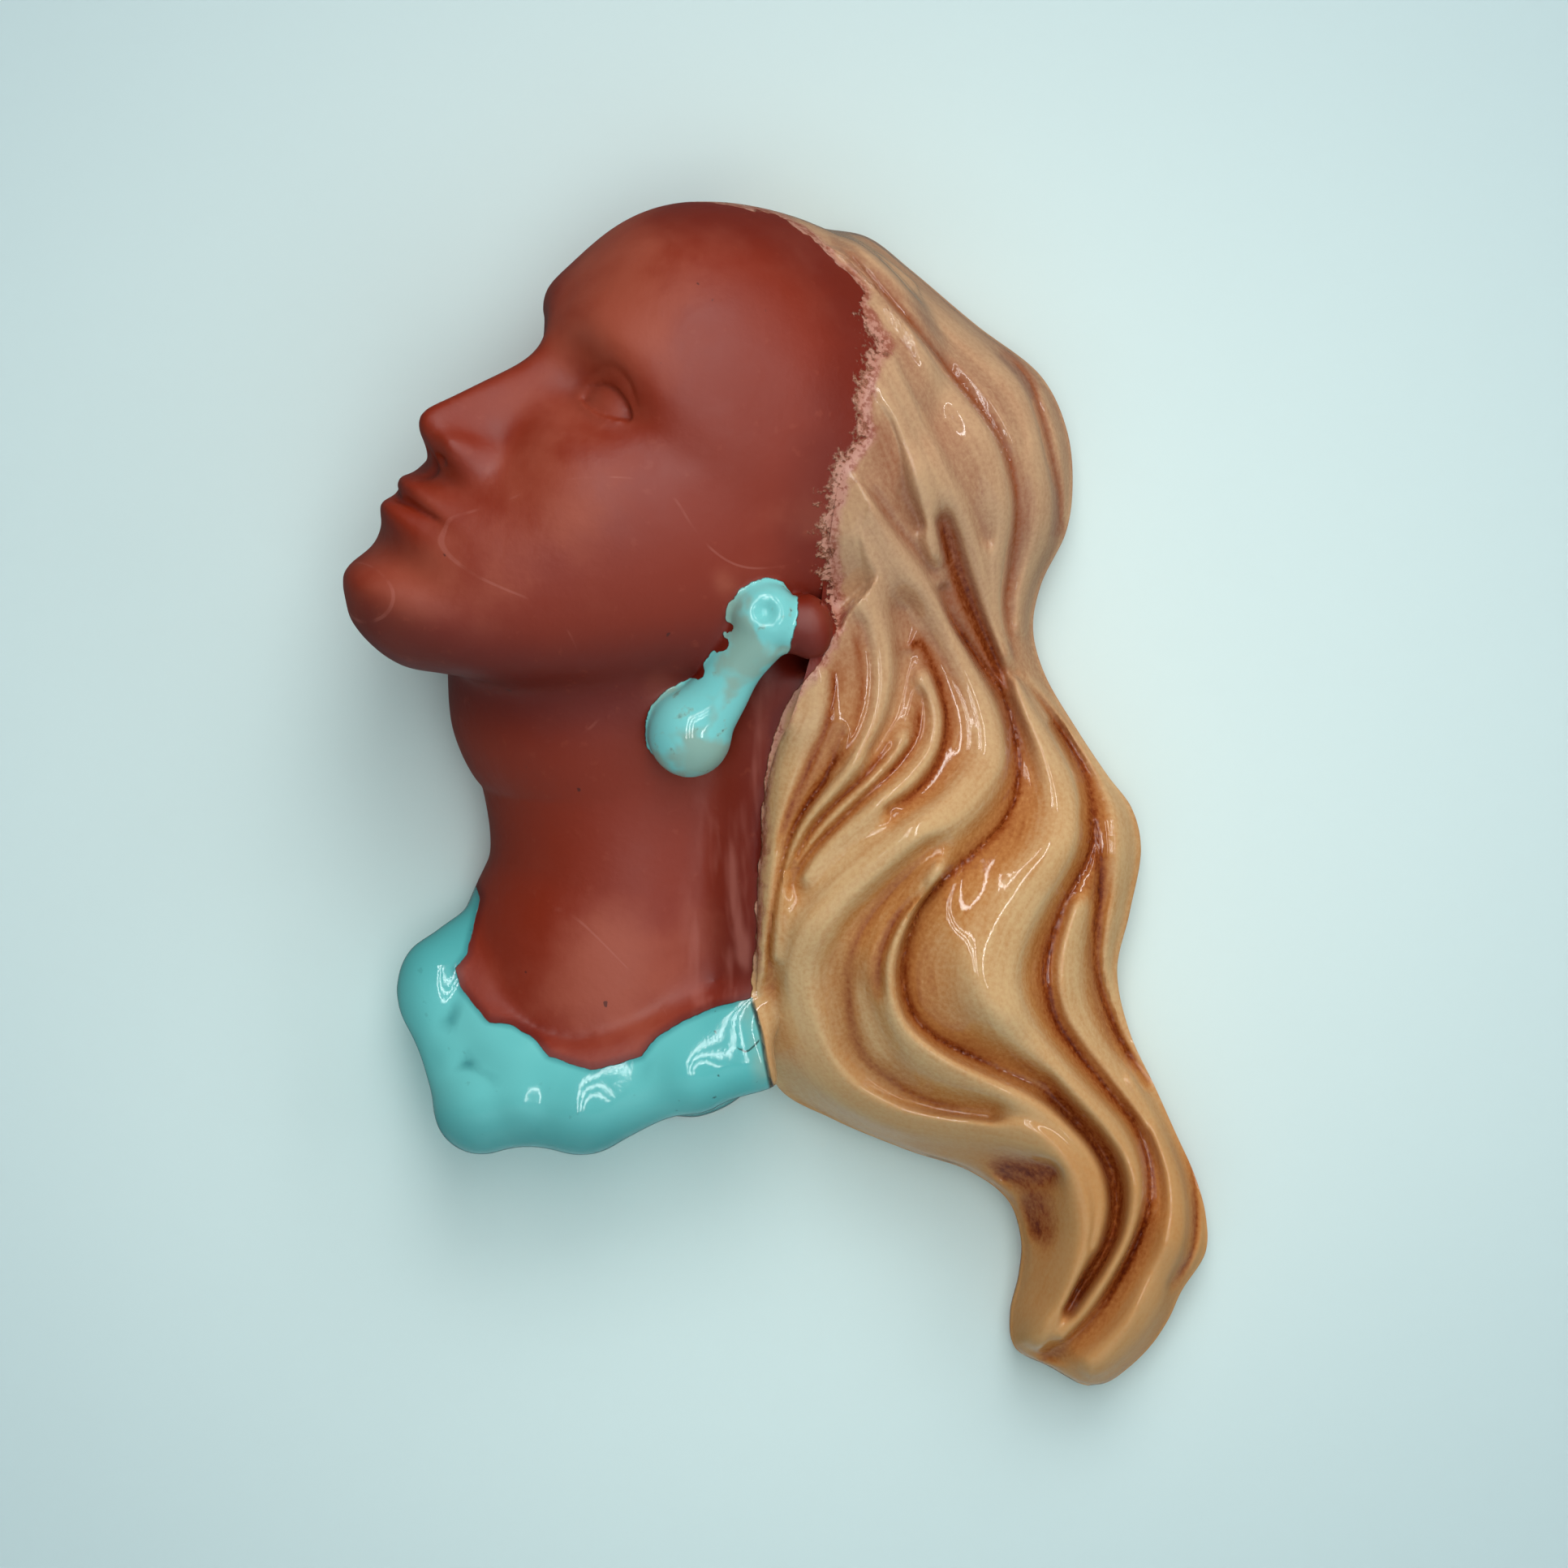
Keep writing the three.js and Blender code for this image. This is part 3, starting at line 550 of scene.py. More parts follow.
# The hollows between them: the level, a sharp cut at the bottom with its width, brown wash, and line.
valleys = {
    "crownSeam": (-2.2, 1.6, 1.0, 0.62, [
        (12, 14.6), (16, 11.2), (20, 7), (25, 1.5), (30, -4), (35, -10), (40, -15.7), (45, -22),
        (50, -29.5), (52.6, -37), (54, -45), (53, -57), (51.5, -67), (54, -82)]),
    "backSeam": (-2, 1.3, 0.9, 0.6, [(52, -9.5), (57, -16), (60, -25), (62, -33), (64, -43), (64, -50)]),
    "mainCrease": (-5.2, 2.0, 1.1, 0.78, [
        (37, -64), (39, -70), (45, -79), (51, -88), (54, -100), (53.5, -110), (50, -117), (44, -123),
        (37, -129), (31, -137), (28, -149), (30, -159), (36, -165), (46, -170), (60, -176.5)]),
    "tailValley": (-5.5, 1.8, 1.8, 1.0, [
        (60, -176.5), (67, -183.5), (72, -189), (75.4, -195), (76.7, -202), (76, -209), (73, -216),
        (69, -222), (66, -227)]),
    "centralEdge": (-4.4, 1.9, 1.2, 0.8, [
        (54, -82), (60.5, -90), (66, -98), (70, -106), (71.3, -114), (70.7, -123), (67.7, -129), (64, -136),
        (61.3, -144), (60.4, -152), (62.7, -161), (67.3, -168), (75, -177.5), (81, -185), (84.3, -194),
        (84.4, -203), (81.5, -212), (77, -221), (71, -230), (60.5, -239)]),
    "outerInner": (-3, 1.6, 1.0, 0.85, [
        (71.3, -114), (72.3, -122), (73, -130), (72.3, -141), (72.5, -150), (74.6, -158), (78, -166),
        (84.5, -175.5)]),
    "templeCrease": (-4.2, 0.8, 1.6, 0.95, [(36.5, -49), (39.5, -58), (43.5, -68), (48, -78), (51, -85)]),
    "templeFold": (-1.2, 0.0, 1, 0.45, [(27, -9), (31, -19), (37, -31), (43, -43), (46, -52)]),
    "hairlineHollow": (-3.8, 0.0, 1, 0.6, [(22.5, -28), (25, -36), (28, -44), (31, -49)]),
    "hairlineFold": (-2.2, 0.7, 1.2, 0.45, [(20, -40), (25, -48), (31, -55), (36, -62)]),
    "dimple": (-4.4, 0.0, 1, 0.5, [(27.5, -69), (28.5, -77), (27.5, -85), (25, -93), (21.5, -100)]),
    "dimpleSide": (-3, 0.4, 1.2, 0.8, [
        (28.5, -77), (31.5, -76), (34.5, -81), (37, -89), (37.5, -96), (35.5, -103), (31, -109), (25, -113)]),
    "innerArc": (-2.6, 0.5, 1.2, 0.7, [
        (31.5, -88), (31, -96), (27.5, -102), (20.5, -109), (13, -116.5), (6, -124), (3, -130)]),
    "innerArc2": (-2.6, 0.6, 1.1, 0.75, [(25, -99), (19, -106), (12, -112.5), (7, -118.5), (2.5, -127)]),
    "earGroove": (-2.4, 0.9, 1, 0.8, [
        (14, -97), (10.5, -106), (6.5, -112), (3, -118.5), (0.3, -128), (-1.8, -140), (-2.6, -153)]),
    "earFold": (-1.2, 0.4, 1, 0.6, [(17, -73), (18.3, -81), (18.5, -89), (16.3, -97), (12, -105)]),
    "earFold2": (-1.6, 0.4, 0.9, 0.7, [
        (12, -79), (12.3, -87), (10.5, -95), (7, -103), (3, -112), (-1, -122)]),
    "lowerArc": (-3.4, 0.4, 1.4, 0.62, [
        (34, -123), (26, -131), (19.5, -139), (15.8, -148), (15.8, -158), (18.5, -168), (26, -175),
        (36, -180), (48, -182)]),
    "lowerArc2": (-2.2, 0.5, 1, 0.7, [(33, -131), (26.5, -138), (22.8, -147), (22.5, -154)]),
    "ovalHollow": (-3.2, 0.0, 1, 0.3, [(18.3, -155), (20, -160), (23, -167)]),
    "underHollow": (-3.4, 0.0, 1, 1.0, [(52, -196), (57, -196), (61.5, -195.5)]),
    "underFold": (-2.2, 0.0, 1, 0.95, [(57, -204), (58.5, -209)]),
    "crownFold": (-0.6, 0.0, 1, 0.35, [(30, 0), (37, -7), (44, -14.5), (50, -21), (54, -30)]),
    "hookHollow": (-0.8, 0.3, 0.8, 0.3, [(11, 15.6), (16, 13.4), (19.5, 9.4)]),
    "tailRimFold": (-1.8, 0.8, 0.9, 0.7, [
        (92.5, -190), (94.8, -198), (95.4, -207), (94, -215), (90.5, -221)]),
}

leftStops, rightStops = [row[:2] for row in hairRows], [row[2:] for row in hairRows]
faceEdge = softLine(leftStops[: hair["heldRows"]], 400)
freeEdge = np.vstack([softLine(rightStops, 700), softLine(leftStops[hair["heldRows"]:], 200)[::-1]])


def scalpDepth(flat):  # the depth of the egg of the scalp, seen square to the wall
    off = np.column_stack([flat[:, 0] - head["centre"][0], 0 * flat[:, 0], flat[:, 1] - head["centre"][2]])
    axes = (leftward, ahead, upward)
    reach = np.array([-axis[1] / size for axis, size in zip(axes, hair["scalp"])])
    start = np.stack([off @ axis / size for axis, size in zip(axes, hair["scalp"])], 1)
    square, slope = reach @ reach, start @ reach
    inside = slope**2 - square * ((start**2).sum(1) - 1)
    return (np.sign(inside) * np.sqrt(abs(inside)) - slope) / square - head["centre"][1]


def hairEnvelope(flat):  # how far the mass of the hair stands out of the wall
    fromEdge = nearestOn(freeEdge, flat)[0]
    crestLine = softLine([stop[:2] for stop in crest], 600)
    along = nearestOn(crestLine, flat)[2]
    height, rounding = (evenly([stop[k] for stop in crest])(along) for k in (2, 3))
    swell = np.minimum(height, hair["edgeDepth"] + rounding * np.sqrt(fromEdge))
    fromFace = nearestOn(faceEdge, flat)[0]
    over = np.minimum(hair["thin"] + hair["thickening"] * fromFace, hair["thick"])
    full = np.maximum(swell, scalpDepth(flat) + over)
    return np.minimum(full, hair["edgeDepth"] + hair["steepest"] * np.sqrt(fromEdge))


def carvedHair(flat):  # the relief of the locks over the mass, and the brown wash in their hollows
    total, level, wash = np.zeros(len(flat)), np.zeros(len(flat)), np.zeros(len(flat))
    washTotal, cuts, dark = np.zeros(len(flat)), np.zeros(len(flat)), np.zeros(len(flat))

    def weigh(line, value, stain, share=1.0):
        nonlocal total, level, wash, washTotal
        distance, side, along = nearestOn(line, flat)
        weight = share / (distance**2 + hair["spread"] ** 2) ** 1.5
        total, level = total + weight, level + weight * value
        washTotal, wash = washTotal + weight, wash + weight * stain
        return distance, side, along

    for height, line in ridges.values():
        weigh(softLine(line, 12 * len(line)), height, 0.05)
    for low, cut, width, stain, line in valleys.values():
        distance, side, along = weigh(softLine(line, 12 * len(line)), low, stain)
        fade = rampUp(along, 0, 0.12) * rampUp(1 - along, 0, 0.12)
        cuts += cut * np.exp(-distance / width) * fade
        dark += 0.5 * stain * (cut > 0) * np.exp(-((distance / (0.6 + 0.3 * width)) ** 2)) * fade
    weigh(faceEdge, -0.6, 0.25, 0.6)
    weigh(freeEdge, -0.4, 0.3, 0.5)
    return level / total - cuts, np.clip((wash / washTotal) ** 1.45 + dark, 0, 1)


def hairSheet(along, across, first=0, last=1, inset=0):
    piece = primitive(bpy.ops.mesh.primitive_grid_add, x_subdivisions=across, y_subdivisions=along, size=2)
    piece.name = "hair"
    at = spotsOf(piece)
    t = first + (last - first) * (1 - at[:, 1]) / 2
    share = (1 + at[:, 0]) / 2
    steps = np.linspace(0, 1, 3000)
    left, right = (softLine(stops, 3000) for stops in (leftStops, rightStops))
    headings = [np.gradient(line, axis=0) for line in (left, right)]

    def read(line):
        return np.stack([np.interp(t, steps, line[:, k]) for k in (0, 1)], 1)

    start, end, *headings = read(left), read(right), *(read(line) for line in headings)
    if inset:
        across = (end - start) / np.linalg.norm(end - start, axis=1)[:, None]
        for edge, heading, sign in ((start, headings[0], 1), (end, headings[1], -1)):
            heading = heading / np.linalg.norm(heading, axis=1)[:, None]
            square = np.maximum(abs(across[:, 0] * heading[:, 1] - across[:, 1] * heading[:, 0]), 0.3)
            edge += sign * across * (inset / square)[:, None]
    flat = start + (end - start) * share[:, None]
    moveSpots(piece, np.column_stack([flat[:, 0], 0 * t, flat[:, 1]]))
    return piece


def closeBehind(piece, behind):  # the sheet's border is drawn back past the wall and filled
    pick(piece)
    bpy.ops.object.mode_set(mode="EDIT")
    bpy.ops.mesh.select_all(action="SELECT")
    bpy.ops.mesh.region_to_loop()
    bpy.ops.mesh.extrude_edges_move()
    bpy.ops.object.mode_set(mode="OBJECT")
    chosen = np.empty(len(piece.data.vertices), dtype=bool)
    piece.data.vertices.foreach_get("select", chosen)
    spots = spotsOf(piece)
    spots[chosen, 1] = behind
    moveSpots(piece, spots)
    bpy.ops.object.mode_set(mode="EDIT")
    bpy.ops.mesh.edge_face_add()
    bpy.ops.mesh.quads_convert_to_tris()
    bpy.ops.object.mode_set(mode="OBJECT")
    turnOutward(piece)


# Where the hair's glaze begins, from the crown down to the collar, and the collar's ragged edge.
glazeEdges = {
    "hair": [
        (-21, 60), (-20.5, 24), (-12, 22.6), (0, 20.6), (8, 15), (13, 9.8), (19, 3.2), (17.6, 0), (19.5, -6),
        (22, -9.4), (19.5, -13), (17, -22), (18, -30), (13.5, -36), (12, -42), (9.6, -52), (11, -63),
        (12, -68), (13, -73), (11, -78), (9, -81), (3, -88), (0, -95), (-3, -105), (-5, -130), (-6, -157),
        (-4, -164), (-3, -170), (-1.8, -176), (-1.8, -200)],
    "collar": [
        (-130, -126), (-71, -128), (-68, -133), (-71, -146), (-73.5, -149.5), (-72, -154), (-66, -161),
        (-60, -162), (-55, -165), (-52, -169), (-42, -172), (-31, -169), (-28, -165), (-22, -161),
        (-15, -158), (-6, -155.8), (20, -157)],
}


def laidOn(figure, spots):  # where its glaze begins the hair starts flush with the clay it lies on
    gap, side, _ = nearestOn(glazeEdges["hair"], spots[:, [0, 2]])
    inside, own = gap * side, -spots[:, 1]
    for k in np.flatnonzero(inside < 26):
        x, _, z = spots[k]
        hit, place, normal, _ = figure.ray_cast((x, -200, z), (0, 1, 0))
        if not hit:
            continue
        clay, low = -place[1], rampUp(z, -98, -78)
        rise = sum(share * np.interp(inside[k], *hair[name]) for share, name in (
            (low, "riseFromHead"), (1 - low, "riseFromNeck")))
        slack = 30 * (1 - rampUp(-normal[1], 0.25, 0.55)) * rampUp(inside[k], 0, 6)
        most = clay + rise + slack + 40 * bell(z + 81, 9)
        least = clay + np.interp(inside[k], [0, 3, 14, 26], [-0.8, 0.7, 0.7, -60])
        least = least - 60 * (1 - rampUp(z, -66, -52))
        own[k] = -0.8 * np.logaddexp(-own[k] / 0.8, -most / 0.8)
        own[k] = 0.5 * np.logaddexp(own[k] / 0.5, least / 0.5)
    return own


def modelHair(figure):
    piece = hairSheet(hair["along"], hair["across"])
    spots = spotsOf(piece)
    spots[:, 1] = -(hairEnvelope(spots[:, [0, 2]]) + hair["base"])
    moveSpots(piece, spots)
    pick(piece)
    bpy.ops.object.mode_set(mode="EDIT")
    bpy.ops.mesh.select_all(action="SELECT")
    bpy.ops.mesh.vertices_smooth(factor=0.5, repeat=40, xaxis=False, yaxis=True, zaxis=False)
    bpy.ops.object.mode_set(mode="OBJECT")
    spots = spotsOf(piece)
    flat = spots[:, [0, 2]]
    relief = carvedHair(flat)[0]
    relief *= 0.25 + 0.75 * rampUp(nearestOn(freeEdge, flat)[0], 0, 3)
    spots[:, 1] -= relief
    spots[:, 1] = -np.clip(laidOn(figure, spots), 3, 73)
    moveSpots(piece, spots)
    closeBehind(piece, 4)
    return piece


mask = modelFigure()
print("figure modelled:", len(mask.data.polygons), "faces")
locks = modelHair(mask)
print("hair modelled:", len(locks.data.polygons), "faces")
combine(mask, locks, "UNION")
combine(mask, block((-300, 0, -400), (300, 200, 200)), "DIFFERENCE")
mask.name = "mask"
print("joined and cut flat at the wall:", len(mask.data.polygons), "faces")

# The hollow behind: the same masses less the thickness of the casting, but for the hanging web.
hollow = {
    "wall": 5.5,
    "seam": [[-2, 0, -62, 12, 24], [-2, 0, -100, 12, 24], [-2, 0, -140, 12, 22], [0, 0, -163, 8, 16]],
    "chestEnd": [-41, 2, -172, 31, 28],
    "hairFrom": 0.17,
    "hairTo": 0.872,
    "hairFill": 6.5,
    "web": {"thickness": 6, "top": 30, "bottom": -18},
    "nail": {"below": 9, "radius": 4.5},
}


def modelHollow():
    wall = hollow["wall"]
    behindHair = hairSheet(70, 24, hollow["hairFrom"], hollow["hairTo"], wall)
    spots = spotsOf(behindHair)
    spots[:, 1] = -np.maximum(hairEnvelope(spots[:, [0, 2]]) - hollow["hairFill"] - wall, 2)
    moveSpots(behindHair, spots)
    closeBehind(behindHair, 4)
    rooms = [
        behindHair,
        ballOf("headRoom", 40, 48, lambda t, angle, at: headForm(t, angle, at, wall + 1, 0, (56, -62))),
        ballOf("neckRoom", 40, 40, sweepForm(trunk["neck"][:-1], wall)),
        ballOf("chestRoom", 30, 40, sweepForm([*trunk["chest"][:2], hollow["chestEnd"]], wall)),
        ballOf("seamRoom", 40, 32, sweepForm(hollow["seam"])),
    ]
    room = joinUp(rooms)
    refine(room, "REMESH", mode="VOXEL", voxel_size=2.4)
    refine(room, "SMOOTH", factor=0.5, iterations=6)
    web = hollow["web"]
    return combine(room, block((-200, -web["thickness"], web["bottom"]), (200, 60, web["top"])), "DIFFERENCE")


def modelNail():
    nail = hollow["nail"]
    piece = primitive(bpy.ops.mesh.primitive_cylinder_add, vertices=48, radius=nail["radius"], depth=30)
    at = spotsOf(piece)
    moveSpots(piece, np.column_stack([
        at[:, 0] + hangerAt[0], at[:, 2], at[:, 1] + hangerAt[2] - nail["below"]]))
    turnOutward(piece)
    return piece


glazed = bpy.data.materials.new("earthenwareCastAndBrushGlazed")
bare = bpy.data.materials.new("earthenwareCastUnglazed")


def cover(piece, material):
    piece.data.materials.clear()
    piece.data.materials.append(material)


cover(mask, glazed)
for cutter in (modelHollow(), modelNail()):
    cover(cutter, bare)
    combine(mask, cutter, "DIFFERENCE")
print("hollowed:", len(mask.data.polygons), "faces,", [m.name for m in mask.data.materials])


def trianglesOf(piece):
    piece.data.calc_loop_triangles()
    return len(piece.data.loop_triangles)


backRim = 0.02  # millimetres from the wall


def bareBack(piece):  # the ground rim that lies on the wall carries no glaze
    centres = np.empty(3 * len(piece.data.polygons))
    piece.data.polygons.foreach_get("center", centres)
    slots = np.empty(len(piece.data.polygons), dtype=int)
    piece.data.polygons.foreach_get("material_index", slots)
    slots[centres[1::3] > -backRim] = 1
    piece.data.polygons.foreach_set("material_index", slots)


mostTriangles = 186000
refine(mask, "TRIANGULATE", quad_method="SHORTEST_DIAGONAL")
if trianglesOf(mask) > mostTriangles:
    refine(mask, "DECIMATE", ratio=mostTriangles / trianglesOf(mask))
bareBack(mask)
print("thinned to", trianglesOf(mask), "triangles")

# Where the bare clay is paler: the four broad spots are painted sheen on the forehead, cheek, chin and low
# neck, the small ones rubbed, chalky or chipped places: [x, z, reach, strength].
sheenAndChalkSpots = [
    (-32, 4, 24, 0.9), (-52, -44, 20, 0.8), (-84, -64, 14, 0.8), (-38, -152, 18, 0.9), (-60, -100, 9, 0.3),
    (-16, -140, 8, 0.4), (-27, -86, 4, 0.9), (9, -70, 5, 0.8), (8, -50, 5, 0.7), (-12, -63, 3, 0.6),
]
# Damage to the glaze: chips off the earring's left edge, [x, z, reach], and a crack in the collar's end.
chips = [(-11, -72.6, 0.8), (-12.6, -76.4, 1.4), (-18.2, -82.4, 1.2)]
crack = [(-8.7, -167.2), (-7.4, -167.8), (-6, -166.8), (-4.5, -165.3)]


def markFinishes(piece):  # tells each point which finish it carries, and gives the names of these marks
    spots = spotsOf(piece)
    flat = spots[:, [0, 2]]
    hairGap, hairSide, _ = nearestOn(glazeEdges["hair"], flat)
    collarGap, collarSide, _ = nearestOn(glazeEdges["collar"], flat)
    wash = carvedHair(flat)[1] * (0.35 + 0.65 * rampUp(hairGap * hairSide, 0, 5))
    soft, mean = spots, neighbours(piece, np.ones(len(spots), dtype=bool))
    for _ in range(24):
        soft = mean(soft)
    # how deep each point lies in a hollow below its smoothed neighbours, used to paint shade there
    sunk = ((soft - spots) * spotsOf(piece, "normal")).sum(1)
    strand = [np.full(len(spots), 1e9), np.zeros(len(spots)), np.zeros(len(spots))]
    for number, (_, line) in enumerate(ridges.values()):
        line = softLine(line, 12 * len(line))
        distance, side, along = nearestOn(line, flat)
        length = np.linalg.norm(np.diff(line, axis=0), axis=1).sum()
        nearer = distance < abs(strand[0])
        for k, values in enumerate((distance * side, along * length, 37.0 * number)):
            strand[k] = np.where(nearer, values, strand[k])

    def near(x, z, reach):
        return bell(np.hypot(flat[:, 0] - x, flat[:, 1] - z), reach)

    crackGap, crackSide, _ = nearestOn(softLine(crack, 40), flat)
    marks = {
        "hairGlaze": hairGap * hairSide,
        "collarGlaze": -collarGap * collarSide,
        "jewelGlaze": 0.7 - jewelGap(spots) - 3.5 * sum(near(*chip) for chip in chips),
        "crackAcross": crackGap * crackSide,
        "crackNear": near(*np.mean(crack, axis=0), 2.9),
        "brownWash": wash,
        "sunk": sunk,
        "strandAcross": strand[0],
        "strandAlong": strand[1],
        "strandOf": strand[2],
        "sheenAndChalk": sum(size * near(*spot) for *spot, size in sheenAndChalkSpots),
        # painted shade under the jaw, strongest along its lower edge and fading over 12 mm
        "underJawShade": bell(nearestOn(wiped[0][0], flat)[0], 12),
    }
    for name, values in marks.items():
        made = piece.data.attributes.new(name, "FLOAT", "POINT")
        made.data.foreach_set("value", values.astype(np.float32))
    return list(marks)


markNames = markFinishes(mask)
boxMargin = 0.02 * metres  # the mask stays this far inside the part's box, but for the wall side
low = np.array(cadBox[0]) + boxMargin
high = np.array([cadBox[1][0] - boxMargin, 0, cadBox[1][2] - boxMargin])
moveSpots(mask, np.clip((spotsOf(mask) - np.array(hangerAt)) * metres, low, high))
pick(mask)
bpy.ops.object.shade_smooth_by_angle(angle=62 * degree)
print("finishes marked")


def linear(text):  # an sRGB hex colour as the linear colour that sockets take
    parts = [int(text[i:i + 2], 16) / 255 for i in (0, 2, 4)]
    return [*(c / 12.92 if c <= 0.04045 else ((c + 0.055) / 1.055) ** 2.4 for c in parts), 1]


# What the steps of a finish are in nodes: the node, the sockets its values go to, its output, its settings.
steps = {
    "sum": ("Math", (0, 1), 0, {"operation": "ADD"}),
    "times": ("Math", (0, 1), 0, {"operation": "MULTIPLY"}),
    "larger": ("Math", (0, 1), 0, {"operation": "MAXIMUM"}),
    "size": ("Math", (0,), 0, {"operation": "ABSOLUTE"}),
    "ramp": ("MapRange", (0, 1, 2, 3, 4), 0, {"interpolation_type": "SMOOTHSTEP"}),
    "blend": ("Mix", (0, 6, 7), 2, {"data_type": "RGBA"}),
    "between": ("Mix", (0, 2, 3), 0, {}),
    "noise": ("TexNoise", ("Vector", "Scale", "Detail", "Roughness"), 0, {}),
}


def nodesOf(material):  # empties a material and gives the function that adds nodes to it
    material.use_nodes = True
    tree = material.node_tree
    tree.nodes.clear()

    def add(kind, *values, named={}, out=None, **settings):
        name, sockets, output, fixed = steps.get(kind, (kind, range(len(values)), 0, {}))
        while len(values) > len(sockets):  # a longer sum is added up from the left
            values = (add(kind, *values[:2]), *values[2:])
        made = tree.nodes.new("ShaderNode" + name)
        for setting, value in {**fixed, **settings}.items():
            setattr(made, setting, value)
        for socket, value in [*zip(sockets, values), *named.items()]:
            if isinstance(value, bpy.types.NodeSocket):
                tree.links.new(value, made.inputs[socket])
            else:
                made.inputs[socket].default_value = value
        return made.outputs[output if out is None else out] if made.outputs else None

    return add


def coats(add, colour, *layers):  # colours brushed over one another, each by its share
    for share, over in layers:
        colour = add("blend", share, colour, over)
    return colour


def blobs(millimetres):  # the scale of a noise whose blobs are about this wide
    return 500 / millimetres


finishes = {
    "clay": "842406",  # bare iron-red casting
    "clayPaleAndSheen": "9C452E",  # pale clay in rubbed, chalky places, and painted sheen
    "clayDarkAndShade": "580800",  # dark clay: painted shade in hollows, under the jaw and by the hair, and a dark band outside the collar
    "clayPit": "3A0A04",
    "smear": "B4685A",  # slip wiped along the hair's edge, and scratches
    "caramel": "D2AC7C",  # glaze where it lies thick on the ridges
    "caramelTop": "C8A07A",
    "caramelTail": "C0905C",
    "caramelDeep": "B87A42",
    "caramelDeepTop": "A27054",
    "brown": "8A3E12",
    "brownDeep": "521404",  # wash that ran into the creases
    "thinGlaze": "BE8474",  # pinkish skin of glaze at the hairline
    "turquoise": "54B0B0",
    "turquoisePale": "70C8C6",
    # painted shade in the collar's hollows and low on it, and the darker glaze at its edge
    "turquoiseDeepAndShade": "327E82",
    "jewel": "7CCCCA",
    "jewelDirt": "8CA698",
    # pits and the crack, and the painted shadow line where the collar meets the hair
    "pitAndSeamShadow": "2A4440",
}
